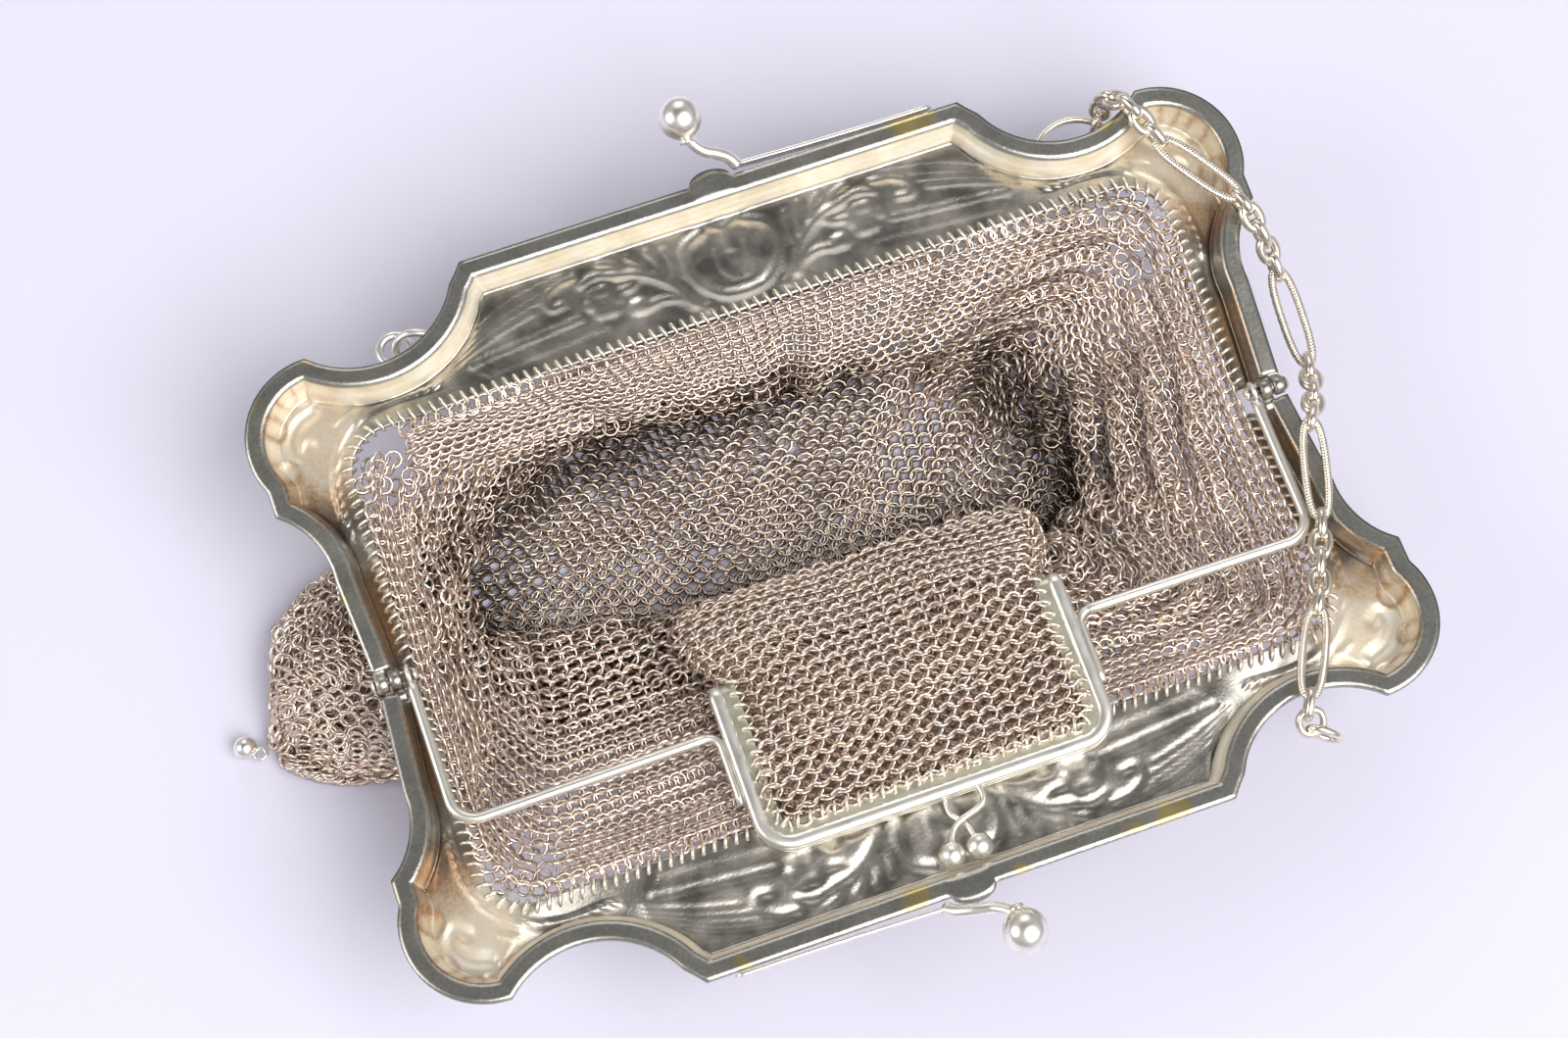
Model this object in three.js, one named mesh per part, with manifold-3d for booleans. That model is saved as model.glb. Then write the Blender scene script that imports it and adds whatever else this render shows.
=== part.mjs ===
// Metal mesh purse, lying open on a table: a pressed two-part frame on two hinge pins, a ring-mesh
// sack collapsed below it, a coin purse hung on a wire bail, clasp balls, and a handle chain.
// Millimetres. +X runs along the hinge line, +Y to the back half, +Z up.
// The origin is on the table, straight below the middle of the hinge line.
import * as THREE from 'three';
import { mergeVertices } from 'three/addons/utils/BufferGeometryUtils.js';
import Module from 'manifold-3d';

const wasm = await Module();
wasm.setup();

// Driving dimensions
const CLEARANCE = 0.3;
const HINGE_HEIGHT = 24;
const HALF_RAISE_DEGREES = 4.8;
const FRAME_HALF_WIDTH = 82.2;
const FRAME_HALF_DEPTH = 59.3;
const MOUTH_HALF_WIDTH = 66.9;
const MOUTH_HALF_DEPTH = 38.8;
const MOUTH_CORNER_RADIUS = 7;
const RIM_WIDTH = 2.9;
const SHEET = 0.9;
const PANEL_DEPTH = 4.5;
const MOUTH_EDGE_DEPTH = 3.1;
const TAB_HALF_WIDTH = 3.4;
const TAB_HEIGHT = 1.9;

const KNUCKLE_RADIUS = 1.5;
const KNUCKLE_LENGTH = 1.8;
const ARM_END_X = 0.89 * FRAME_HALF_WIDTH;
const KNUCKLE_INNER_X = ARM_END_X - 2 * KNUCKLE_LENGTH - CLEARANCE;
const TONGUE_REACH = 3.4;
const PIN_RADIUS = 0.65;
const PIN_HEAD_RADIUS = 1.05;
const PIN_HEAD_LENGTH = 0.8;

const BALL_RADIUS = 3.4;
const BALL_REACH = 68.2;
const BALL_HEIGHT = 34.8;
const STALK_RADIUS = 0.85;
const STRIP_WIDTH = 1.8;
const STRIP_THICKNESS = 0.7;
const STRIP_LENGTH = 32;

const COIN_CENTRE_X = 1;
const COIN_HALF_WIDTH = 28;
const COIN_BACK_Y = -18;
const COIN_FRONT_Y = -44.8;
const COIN_CORNER_RADIUS = 4.5;
const COIN_BAR_WIDTH = 2.2;
const COIN_BAR_HEIGHT = 1.6;
const COIN_LIFT = 1.8;
const COIN_FRAME_HEIGHT = HINGE_HEIGHT + COIN_LIFT;
const COIN_BALL_RADIUS = 2;
const COIN_BALL_GAP = 2 * COIN_BALL_RADIUS + CLEARANCE;
const COIN_STALK_SHIFT = 5;
const BAIL_RADIUS = 0.85;
const BAIL_CROSS_Y = -24.4;
const BAIL_CORNER_RADIUS = 4;
const POCKET_WALL = 1;
const POCKET_HALF_WIDTH = COIN_HALF_WIDTH - COIN_BAR_WIDTH - CLEARANCE - POCKET_WALL / 2;

const BAG_WALL = 1.2;
const SACK_HALF_WIDTH = MOUTH_HALF_WIDTH - CLEARANCE - BAG_WALL / 2;
const SACK_HALF_DEPTH = MOUTH_HALF_DEPTH - CLEARANCE - BAG_WALL / 2;

const RING_RADIUS = 7;
const RING_WIRE = 0.6;
const RING_PLACE_X = 0.70;
const RING_DEPTH = 7;
const RING_LUG_DEGREES = 225;
const JUMP_RING_RADIUS = 2.5;
const INNER_JUMP_RADIUS = 3.35;
const JUMP_WIRE = 0.65;
const JUMP_PLACE = { x: -0.587, y: 0.81 };
const JUMP_TILT_DEGREES = 35;
const LUG_RADIUS = 1.7;
const LUG_WIRE = 0.5;

const LINK_WIRE = 0.55;
const LINK_HALF_LENGTH = 2;
const LINK_HALF_WIDTH = 1.25;
const CORD_WIRE = 0.6;
const CORD_HALF_LENGTH = 7.8;
const CORD_HALF_WIDTH = 1.7;
const CONNECTOR_RADIUS = 1.9;
const END_LINK_HALF_LENGTH = 2.6;
const END_LINK_HALF_WIDTH = 1.7;
const LINK_FUSE = 0.18;

const DROP_BALL_RADIUS = 2;
const DROP_LOOP_RADIUS = 0.9;
const DROP_LOOP_WIRE = 0.3;
const DROP_LEAN_DEGREES = 140;

const RAISE = THREE.MathUtils.degToRad(HALF_RAISE_DEGREES);

// Metal finishes
const FINISH = {
  frame: { color: 0x9a9688, roughness: 0.42, metalness: 0.9 },
  bright: { color: 0xd6d0c4, roughness: 0.22, metalness: 0.95 },
  mesh: { color: 0xa89a88, roughness: 0.45, metalness: 0.85 },
  chain: { color: 0xc2b8a6, roughness: 0.3, metalness: 0.92 },
};

const group = new THREE.Group();

function addPiece(name, geometry, finish) {
  const mesh = new THREE.Mesh(geometry, new THREE.MeshStandardMaterial(finish));
  mesh.name = name;
  group.add(mesh);
}

// Builds a closed triangle mesh and turns it inside out where its faces point in.
function closedGeometry(points, triangles) {
  let volume = 0;
  for (const [a, b, c] of triangles) {
    volume += points[a].dot(new THREE.Vector3().crossVectors(points[b], points[c])) / 6;
  }
  const order = volume < 0 ? [0, 2, 1] : [0, 1, 2];
  const geometry = new THREE.BufferGeometry();
  const positions = points.flatMap((point) => point.toArray());
  geometry.setAttribute('position', new THREE.Float32BufferAttribute(positions, 3));
  geometry.setIndex(triangles.flatMap((triangle) => order.map((corner) => triangle[corner])));
  return geometry;
}

function solidOf(geometry) {
  const bare = geometry.clone();
  bare.deleteAttribute('normal');
  bare.deleteAttribute('uv');
  const merged = mergeVertices(bare, 1e-4);
  const vertProperties = new Float32Array(merged.attributes.position.array);
  const triVerts = new Uint32Array(merged.index.array);
  return new wasm.Manifold(new wasm.Mesh({ numProp: 3, vertProperties, triVerts }));
}

function geometryOf(solid) {
  const mesh = solid.getMesh();
  const geometry = new THREE.BufferGeometry();
  geometry.setAttribute('position', new THREE.Float32BufferAttribute(mesh.vertProperties, 3));
  geometry.setIndex([...mesh.triVerts]);
  return geometry;
}

function fuse(geometries) {
  return geometries.map(solidOf).reduce((whole, next) => whole.add(next));
}

// Skins a row of equal loops of points. Open rows get a cap at each end.
function loft(loops, closed = false, capShape = null) {
  const points = loops.flat();
  const around = loops[0].length;
  const triangles = [];
  const spans = closed ? loops.length : loops.length - 1;
  for (let row = 0; row < spans; row += 1) {
    const here = row * around;
    const next = ((row + 1) % loops.length) * around;
    for (let i = 0; i < around; i += 1) {
      const j = (i + 1) % around;
      triangles.push([here + i, here + j, next + i]);
      triangles.push([here + j, next + j, next + i]);
    }
  }
  if (!closed) {
    const flat = capShape ?? regularPolygon(around);
    const last = (loops.length - 1) * around;
    for (const [a, b, c] of THREE.ShapeUtils.triangulateShape(flat, [])) {
      const turned = THREE.ShapeUtils.isClockWise(flat) ? [a, b, c] : [a, c, b];
      triangles.push(turned);
      triangles.push([turned[0] + last, turned[2] + last, turned[1] + last]);
    }
  }
  return closedGeometry(points, triangles);
}

function regularPolygon(sides, radius = 1) {
  return Array.from({ length: sides }, (_, i) => {
    const angle = ((i + 0.5) * 2 * Math.PI) / sides;
    return new THREE.Vector2(radius * Math.cos(angle), radius * Math.sin(angle));
  });
}

// Sweeps a flat section along a path, with the section's second axis kept close to "up".
function sweep(path, section, closed = false, up = new THREE.Vector3(0, 0, 1)) {
  const loops = path.map((point, i) => {
    const before = closed ? path.at(i - 1) : path[Math.max(i - 1, 0)];
    const after = closed ? path[(i + 1) % path.length] : path[Math.min(i + 1, path.length - 1)];
    const incoming = point.clone().sub(before).normalize();
    const outgoing = after.clone().sub(point).normalize();
    const along = incoming.clone().add(outgoing).normalize();
    const side = new THREE.Vector3().crossVectors(up, along).normalize();
    const lift = new THREE.Vector3().crossVectors(along, side);
    const bend = incoming.lengthSq() * outgoing.lengthSq() > 0.5 ? incoming.dot(outgoing) : 1;
    const mitre = 1 / Math.sqrt((1 + bend) / 2);
    return section.map((corner) => point.clone()
      .addScaledVector(side, corner.x * mitre)
      .addScaledVector(lift, corner.y));
  });
  return loft(loops, closed, section);
}

function ellipsePath(halfLength, halfWidth, segments, exponent = 2) {
  const power = 2 / exponent;
  return Array.from({ length: segments }, (_, i) => {
    const angle = ((i + 0.5) * 2 * Math.PI) / segments;
    const c = Math.cos(angle);
    const s = Math.sin(angle);
    return new THREE.Vector3(
      halfLength * Math.sign(c) * Math.abs(c) ** power,
      halfWidth * Math.sign(s) * Math.abs(s) ** power,
      0,
    );
  });
}

function ring(radius, wire, segments = 16, sides = 6) {
  return sweep(ellipsePath(radius, radius, segments), regularPolygon(sides, wire), true);
}

function sphere(radius, centre, around = 16, down = 10) {
  return new THREE.SphereGeometry(radius, around, down).translate(centre.x, centre.y, centre.z);
}

// Places a flat ring so that its own X and Y axes run along two given directions.
function placed(geometry, centre, xAxis, normal) {
  const x = xAxis.clone().normalize();
  const z = normal.clone().addScaledVector(x, -normal.dot(x)).normalize();
  const y = new THREE.Vector3().crossVectors(z, x);
  const matrix = new THREE.Matrix4().makeBasis(x, y, z).setPosition(centre);
  return geometry.clone().applyMatrix4(matrix);
}

// Frame halves
// A place on a half is given as x, outward distance from the hinge line, and depth below the rim.
function onHalf(side, x, outward, depth) {
  return new THREE.Vector3(
    x,
    side * (outward * Math.cos(RAISE) + depth * Math.sin(RAISE)),
    HINGE_HEIGHT + outward * Math.sin(RAISE) - depth * Math.cos(RAISE),
  );
}

// Points on the arc from one point to another; a positive bulge leans away from the hinge line's middle.
function arcBetween(start, end, bulge, steps) {
  const chord = end.clone().sub(start);
  const half = chord.length() / 2;
  const away = new THREE.Vector2(chord.y, -chord.x).normalize();
  const points = [];
  const sweepAngle = 2 * Math.atan(Math.abs(bulge) / half);
  for (let i = 1; i <= steps; i += 1) {
    const angle = sweepAngle * (2 * i / steps - 1);
    const radius = half / Math.sin(sweepAngle);
    const across = radius * Math.sin(angle);
    const rise = radius * (Math.cos(angle) - Math.cos(sweepAngle));
    points.push(start.clone().lerp(end, 0.5)
      .addScaledVector(chord.clone().normalize(), across)
      .addScaledVector(away, Math.sign(bulge) * rise));
  }
  return points;
}

// A quarter of the outline, from the hinge to the middle of the long edge.
// x and y are shares of the half width and half depth, bulge is a share of the half depth,
// mouth is the share of the mouth's quarter length that the point looks to,
// and run is how far the step wall slopes inward, as a share of the rim width.
const OUTLINE = [
  { at: 'hinge', x: 0.890, y: 0.032, bulge: 0, steps: 1, mouth: 0.0175, run: 0.28 },
  { at: 'arm', x: 0.902, y: 0.290, bulge: 0, steps: 2, mouth: 0.136, run: 0.28 },
  { at: 'flare', x: 0.970, y: 0.499, bulge: -0.030, steps: 3, mouth: 0.229, run: 0.40 },
  { at: 'lobe foot', x: 0.970, y: 0.567, bulge: 0, steps: 1, mouth: 0.253, run: 0.55 },
  { at: 'lobe corner', x: 0.830, y: 0.879, bulge: 0.102, steps: 6, mouth: 0.397, run: 0.62 },
  { at: 'notch end', x: 0.530, y: 0.951, bulge: -0.107, steps: 6, mouth: 0.552, run: 0.62 },
  { at: 'notch nib', x: 0.515, y: 0.973, bulge: 0, steps: 1, mouth: 0.570, run: 0.62 },
  { at: 'edge end', x: 0.499, y: 1.000, bulge: 0, steps: 1, mouth: 0.589, run: 0.62 },
  { at: 'edge middle', x: 0.250, y: 1.000, bulge: 0, steps: 1, mouth: 0.780, run: 0.62 },
];

// A point of the mouth, a rounded rectangle, from a share of its quarter's length.
function mouthPoint(share) {
  const straightUp = MOUTH_HALF_DEPTH - MOUTH_CORNER_RADIUS;
  const straightAcross = MOUTH_HALF_WIDTH - MOUTH_CORNER_RADIUS;
  const turn = (Math.PI / 2) * MOUTH_CORNER_RADIUS;
  const travelled = share * (straightUp + turn + straightAcross);
  if (travelled < straightUp) {
    return new THREE.Vector2(MOUTH_HALF_WIDTH, travelled);
  }
  if (travelled < straightUp + turn) {
    const angle = (travelled - straightUp) / MOUTH_CORNER_RADIUS;
    return new THREE.Vector2(
      straightAcross + MOUTH_CORNER_RADIUS * Math.cos(angle),
      straightUp + MOUTH_CORNER_RADIUS * Math.sin(angle),
    );
  }
  return new THREE.Vector2(straightAcross - (travelled - straightUp - turn), MOUTH_HALF_DEPTH);
}

// Every station of the quarter: outline point, mouth point and wall run.
function quarterStations() {
  const first = OUTLINE[0];
  const place = (row) => new THREE.Vector2(row.x * FRAME_HALF_WIDTH, row.y * FRAME_HALF_DEPTH);
  const stations = [{ outer: place(first), mouth: mouthPoint(first.mouth), run: first.run * RIM_WIDTH }];
  OUTLINE.slice(1).forEach((row, index) => {
    const before = OUTLINE[index];
    const start = place(before);
    const end = place(row);
    const curve = row.bulge === 0
      ? Array.from({ length: row.steps }, (_, i) => start.clone().lerp(end, (i + 1) / row.steps))
      : arcBetween(start, end, row.bulge * FRAME_HALF_DEPTH, row.steps);
    curve.forEach((outer, i) => {
      const share = (i + 1) / row.steps;
      stations.push({
        outer,
        mouth: mouthPoint(THREE.MathUtils.lerp(before.mouth, row.mouth, share)),
        run: THREE.MathUtils.lerp(before.run, row.run, share) * RIM_WIDTH,
      });
    });
  });
  const tabRun = OUTLINE.at(-1).run * RIM_WIDTH;
  const tabSteps = 3;
  for (let i = 0; i <= tabSteps; i += 1) {
    const angle = (Math.PI / 2) * (i / tabSteps);
    const x = TAB_HALF_WIDTH * Math.cos(angle);
    stations.push({
      outer: new THREE.Vector2(x, FRAME_HALF_DEPTH + TAB_HEIGHT * Math.sin(angle)),
      mouth: new THREE.Vector2(x, MOUTH_HALF_DEPTH),
      run: tabRun,
      edge: new THREE.Vector2(x, FRAME_HALF_DEPTH),
    });
  }
  return stations;
}

function frameBand(side) {
  const quarter = quarterStations();
  const mirrored = quarter.slice(0, -1).reverse().map((station) => ({
    outer: new THREE.Vector2(-station.outer.x, station.outer.y),
    mouth: new THREE.Vector2(-station.mouth.x, station.mouth.y),
    run: station.run,
    edge: station.edge && new THREE.Vector2(-station.edge.x, station.edge.y),
  }));
  const stations = [...quarter, ...mirrored];
  const edges = stations.map((station) => station.edge ?? station.outer);
  const loops = stations.map((station, i) => {
    const before = edges[Math.max(i - 1, 0)];
    const after = edges[Math.min(i + 1, edges.length - 1)];
    const incoming = edges[i].clone().sub(before).normalize();
    const outgoing = after.clone().sub(edges[i]).normalize();
    const along = incoming.clone().add(outgoing).normalize();
    const inward = new THREE.Vector2(-along.y, along.x);
    const bend = i > 0 && i < edges.length - 1 ? incoming.dot(outgoing) : 1;
    const mitre = 1 / Math.sqrt((1 + bend) / 2);
    const offset = (distance) => edges[i].clone().addScaledVector(inward, distance * mitre);
    const wallTop = offset(RIM_WIDTH);
    const wallFoot = offset(RIM_WIDTH + station.run);
    const underTop = offset(RIM_WIDTH - SHEET);
    const underFoot = offset(RIM_WIDTH + station.run - SHEET);
    const panel = (share) => ({
      spot: wallFoot.clone().lerp(station.mouth, share),
      depth: THREE.MathUtils.lerp(PANEL_DEPTH, MOUTH_EDGE_DEPTH, share),
    });
    const profile = [
      [station.outer, 0],
      [wallTop, 0],
      [wallFoot, PANEL_DEPTH],
      [panel(0.5).spot, panel(0.5).depth],
      [station.mouth, MOUTH_EDGE_DEPTH],
      [station.mouth, MOUTH_EDGE_DEPTH + SHEET],
      [panel(0.5).spot, panel(0.5).depth + SHEET],
      [underFoot, PANEL_DEPTH + SHEET],
      [underTop, SHEET],
      [station.outer, SHEET],
    ];
    return profile.map(([spot, depth]) => onHalf(side, spot.x, spot.y, depth));
  });
  const cap = [
    [0, 0], [3, 0], [4, 4.5], [5, 4], [6, 3.5], [6, 4.5], [5, 5], [3.2, 5.4], [2.2, 1], [0, 1],
  ].map(([x, y]) => new THREE.Vector2(x, y));
  return loft(loops, false, cap);
}

const half = { back: 1, front: -1 };

// A short cylinder along X.
function barrel(radius, fromX, toX, y, z) {
  const sides = 12;
  return new THREE.CylinderGeometry(radius, radius, Math.abs(toX - fromX), sides)
    .rotateZ(Math.PI / 2)
    .translate((fromX + toX) / 2, y, z);
}

// One knuckle at each end of a half, on a short tongue, bored for its pin.
function withKnuckles(solid, side, innerX) {
  const bore = PIN_RADIUS + CLEARANCE;
  let result = solid;
  for (const end of [1, -1]) {
    const from = end * innerX;
    const to = end * (innerX + KNUCKLE_LENGTH);
    const tongue = new THREE.BoxGeometry(KNUCKLE_LENGTH, TONGUE_REACH - PIN_RADIUS, SHEET)
      .translate((from + to) / 2, (side * (TONGUE_REACH + PIN_RADIUS)) / 2, HINGE_HEIGHT - SHEET / 2);
    result = result
      .add(solidOf(barrel(KNUCKLE_RADIUS, from, to, 0, HINGE_HEIGHT)))
      .add(solidOf(tongue));
    const past = 1;
    result = result.subtract(
      solidOf(barrel(bore, from - end * past, to + end * past, 0, HINGE_HEIGHT)),
    );
  }
  return result;
}

const outerKnuckleX = KNUCKLE_INNER_X + KNUCKLE_LENGTH + CLEARANCE;

// Carrying rings and the lugs that hold them, below the rim of the back half
const up = new THREE.Vector3(0, 0, 1);
const ringCentre = onHalf(
  half.back,
  RING_PLACE_X * FRAME_HALF_WIDTH,
  MOUTH_HALF_DEPTH + RING_RADIUS + RING_WIRE - CLEARANCE / 2,
  RING_DEPTH,
);
const onRing = (degrees) => {
  const angle = THREE.MathUtils.degToRad(degrees);
  const out = new THREE.Vector3(Math.cos(angle), Math.sin(angle), 0);
  return ringCentre.clone().addScaledVector(out, RING_RADIUS);
};
const ringLug = placed(
  ring(LUG_RADIUS, LUG_WIRE, 12, 5),
  onRing(RING_LUG_DEGREES).add(new THREE.Vector3(0, 0, LUG_WIRE / 2)),
  up,
  new THREE.Vector3(1, -1, 0),
);

const jumpEnd = onHalf(
  half.back,
  JUMP_PLACE.x * FRAME_HALF_WIDTH,
  JUMP_PLACE.y * FRAME_HALF_DEPTH,
  PANEL_DEPTH,
);
const jumpLine = new THREE.Vector3(-0.94, 0.34, 0).normalize();
const jumpTilt = THREE.MathUtils.degToRad(JUMP_TILT_DEGREES);
const jumpAcross = new THREE.Vector3(-jumpLine.y, jumpLine.x, 0);
const jumpNormal = jumpAcross.clone().multiplyScalar(Math.cos(jumpTilt))
  .addScaledVector(up, Math.sin(jumpTilt));
const jumpRise = jumpAcross.clone().multiplyScalar(-Math.sin(jumpTilt))
  .addScaledVector(up, Math.cos(jumpTilt));
const jumpLug = placed(ring(LUG_RADIUS, LUG_WIRE, 12, 5), jumpEnd, jumpLine, jumpRise);

const backHalf = withKnuckles(solidOf(frameBand(half.back)), half.back, outerKnuckleX)
  .add(solidOf(ringLug))
  .add(solidOf(jumpLug));
const frontHalf = withKnuckles(solidOf(frameBand(half.front)), half.front, KNUCKLE_INNER_X);
addPiece('back_frame_half', geometryOf(backHalf), FINISH.frame);
addPiece('front_frame_half', geometryOf(frontHalf), FINISH.frame);

addPiece(
  'carry_ring',
  ring(RING_RADIUS, RING_WIRE, 20, 5).translate(...ringCentre.toArray()),
  FINISH.chain,
);
addPiece(
  'jump_ring_inner',
  placed(
    ring(INNER_JUMP_RADIUS, JUMP_WIRE, 14),
    jumpEnd.clone().addScaledVector(jumpLine, INNER_JUMP_RADIUS),
    jumpLine,
    jumpNormal,
  ),
  FINISH.bright,
);
addPiece(
  'jump_ring_outer',
  placed(
    ring(JUMP_RING_RADIUS, JUMP_WIRE, 14),
    jumpEnd.clone().addScaledVector(jumpLine, 2 * INNER_JUMP_RADIUS),
    jumpLine,
    up,
  ),
  FINISH.bright,
);

// Hinge pins
const eyeX = KNUCKLE_INNER_X - CLEARANCE - BAIL_RADIUS;
const pinInnerX = eyeX - BAIL_RADIUS / 2 - CLEARANCE;
const pinOuterX = outerKnuckleX + KNUCKLE_LENGTH + CLEARANCE;
for (const [name, end] of [['hinge_pin_right', 1], ['hinge_pin_left', -1]]) {
  const profile = [
    [0, pinInnerX - PIN_HEAD_LENGTH],
    [PIN_HEAD_RADIUS * 0.7, pinInnerX - PIN_HEAD_LENGTH],
    [PIN_HEAD_RADIUS, pinInnerX - PIN_HEAD_LENGTH / 2],
    [PIN_HEAD_RADIUS, pinInnerX],
    [PIN_RADIUS, pinInnerX],
    [PIN_RADIUS, pinOuterX],
    [PIN_HEAD_RADIUS, pinOuterX],
    [PIN_HEAD_RADIUS * 0.7, pinOuterX + PIN_HEAD_LENGTH * 0.7],
    [0, pinOuterX + PIN_HEAD_LENGTH * 0.7],
  ].map(([radius, x]) => new THREE.Vector2(radius, x));
  const sides = 10;
  const pin = new THREE.LatheGeometry(profile, sides).rotateZ(-Math.PI / 2);
  if (end < 0) {
    pin.rotateZ(Math.PI);
  }
  addPiece(name, geometryOf(solidOf(pin.translate(0, 0, HINGE_HEIGHT))), FINISH.bright);
}

// Clasp: a spring strip along the outside of the edge, whose end rises as a stalk to the ball.
// Shares run from the stalk's foot to the ball's centre.
const STALK = [
  { along: 0.00, out: 0.00, rise: 0.00 },
  { along: 0.15, out: 0.14, rise: 0.20 },
  { along: 0.40, out: 0.24, rise: 0.38 },
  { along: 0.70, out: 0.34, rise: 0.52 },
  { along: 0.95, out: 0.58, rise: 0.74 },
  { along: 1.00, out: 0.80, rise: 0.90 },
  { along: 1.00, out: 1.00, rise: 1.00 },
];
const STALK_FOOT_X = 4.9;
const CLASP = {
  back_clasp: { side: half.back, footX: STALK_FOOT_X, ballX: -1.7 },
  front_clasp: { side: half.front, footX: -STALK_FOOT_X, ballX: 4.1 },
};
for (const [name, { side, footX, ballX }] of Object.entries(CLASP)) {
  const away = Math.sign(footX);
  const seat = FRAME_HALF_DEPTH + CLEARANCE + STRIP_THICKNESS / 2;
  const foot = onHalf(side, footX, seat + STRIP_THICKNESS, SHEET / 2);
  const ball = new THREE.Vector3(ballX, side * BALL_REACH, BALL_HEIGHT);
  const stalk = STALK.map((row) => new THREE.Vector3(
    THREE.MathUtils.lerp(foot.x, ball.x, row.along),
    THREE.MathUtils.lerp(foot.y, ball.y, row.out),
    THREE.MathUtils.lerp(foot.z, ball.z, row.rise),
  ));
  const strip = [0, 0.15, 0.4, 1].map((share) => {
    const bow = STRIP_THICKNESS * (1 - share) ** 2;
    return onHalf(side, footX + away * STRIP_LENGTH * share, seat + bow, SHEET / 2);
  });
  const stripSection = [[-1, -1], [1, -1], [1, 1], [-1, 1]].map(([x, y]) => (
    new THREE.Vector2((x * STRIP_THICKNESS) / 2, (y * STRIP_WIDTH) / 2)
  ));
  const solid = fuse([
    sweep(stalk, regularPolygon(6, STALK_RADIUS)),
    sweep(strip, stripSection),
    sphere(BALL_RADIUS, ball, 14, 8),
  ]);
  addPiece(name, geometryOf(solid), FINISH.bright);
}

// Coin purse: two U frames, one over the other, the lower one on the bail that hangs on the pins
function arcPath(centreX, centreY, radius, fromDegrees, toDegrees, z, steps = 4) {
  return Array.from({ length: steps + 1 }, (_, i) => {
    const angle = THREE.MathUtils.degToRad(THREE.MathUtils.lerp(fromDegrees, toDegrees, i / steps));
    return new THREE.Vector3(
      centreX + radius * Math.cos(angle),
      centreY + radius * Math.sin(angle),
      z,
    );
  });
}

function coinFramePath(z) {
  const reach = COIN_HALF_WIDTH - COIN_BAR_WIDTH / 2;
  const front = COIN_FRONT_Y + COIN_BAR_WIDTH / 2;
  const left = COIN_CENTRE_X - reach;
  const right = COIN_CENTRE_X + reach;
  const radius = COIN_CORNER_RADIUS;
  return [
    new THREE.Vector3(left, COIN_BACK_Y, z),
    ...arcPath(left + radius, front + radius, radius, 180, 270, z),
    ...arcPath(right - radius, front + radius, radius, 270, 360, z),
    new THREE.Vector3(right, COIN_BACK_Y, z),
  ];
}

const coinSection = regularPolygon(6).map((corner) => new THREE.Vector2(
  (corner.x / Math.cos(Math.PI / 6)) * (COIN_BAR_WIDTH / 2),
  corner.y * (COIN_BAR_HEIGHT / 2),
));
const upperCoinHeight = COIN_FRAME_HEIGHT + COIN_BAR_HEIGHT + CLEARANCE;
const coinBallY = -(FRAME_HALF_DEPTH - RIM_WIDTH - COIN_BALL_RADIUS - 4 * CLEARANCE);

// A small stalk that leaves its frame's front bar and turns to its ball.
function coinClasp(fromX, ballX, z) {
  const front = COIN_FRONT_Y + COIN_BAR_WIDTH / 2;
  const ballZ = COIN_FRAME_HEIGHT + COIN_BALL_RADIUS;
  const path = [
    new THREE.Vector3(fromX, front, z),
    new THREE.Vector3(fromX, THREE.MathUtils.lerp(front, coinBallY, 0.35), z),
    new THREE.Vector3(
      THREE.MathUtils.lerp(fromX, ballX, 0.75),
      THREE.MathUtils.lerp(front, coinBallY, 0.6),
      THREE.MathUtils.lerp(z, ballZ, 0.5),
    ),
    new THREE.Vector3(ballX, coinBallY, ballZ),
  ];
  const wire = COIN_BAR_HEIGHT / 4;
  return [
    sweep(path, regularPolygon(6, wire)),
    sphere(COIN_BALL_RADIUS, path.at(-1), 10, 7),
  ];
}

function bailWire(end) {
  const x = end * eyeX;
  const r = BAIL_CORNER_RADIUS;
  const startZ = HINGE_HEIGHT;
  const barX = COIN_CENTRE_X + end * (COIN_HALF_WIDTH - COIN_BAR_WIDTH / 2);
  const corner = arcPath(x - end * r, BAIL_CROSS_Y + r, r, end > 0 ? 0 : 180, end > 0 ? -90 : 270, 0);
  const path = [
    new THREE.Vector3(x, -eyeRadius, startZ),
    ...corner,
    new THREE.Vector3(barX, BAIL_CROSS_Y, 0),
  ];
  const travelled = [0];
  path.slice(1).forEach((point, i) => {
    const before = path[i];
    travelled.push(travelled[i] + Math.hypot(point.x - before.x, point.y - before.y));
  });
  path.forEach((point, i) => {
    point.setZ(THREE.MathUtils.lerp(startZ, COIN_FRAME_HEIGHT, travelled[i] / travelled.at(-1)));
  });
  return sweep(path, regularPolygon(6, BAIL_RADIUS));
}

const eyeWire = BAIL_RADIUS / 2;
const eyeRadius = PIN_RADIUS + CLEARANCE + eyeWire + 0.05;
const eyes = [1, -1].map((end) => placed(
  ring(eyeRadius, eyeWire, 10, 5),
  new THREE.Vector3(end * eyeX, 0, HINGE_HEIGHT),
  up,
  new THREE.Vector3(1, 0, 0),
));
addPiece(
  'coin_frame_and_bail',
  geometryOf(fuse([
    sweep(coinFramePath(COIN_FRAME_HEIGHT), coinSection),
    bailWire(1),
    bailWire(-1),
    ...eyes,
    ...coinClasp(COIN_CENTRE_X, COIN_CENTRE_X + COIN_BALL_GAP / 2, COIN_FRAME_HEIGHT),
  ])),
  FINISH.bright,
);
addPiece(
  'coin_frame_lid',
  geometryOf(fuse([
    sweep(coinFramePath(upperCoinHeight), coinSection),
    ...coinClasp(COIN_CENTRE_X + COIN_STALK_SHIFT, COIN_CENTRE_X - COIN_BALL_GAP / 2, upperCoinHeight),
  ])),
  FINISH.bright,
);

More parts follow.
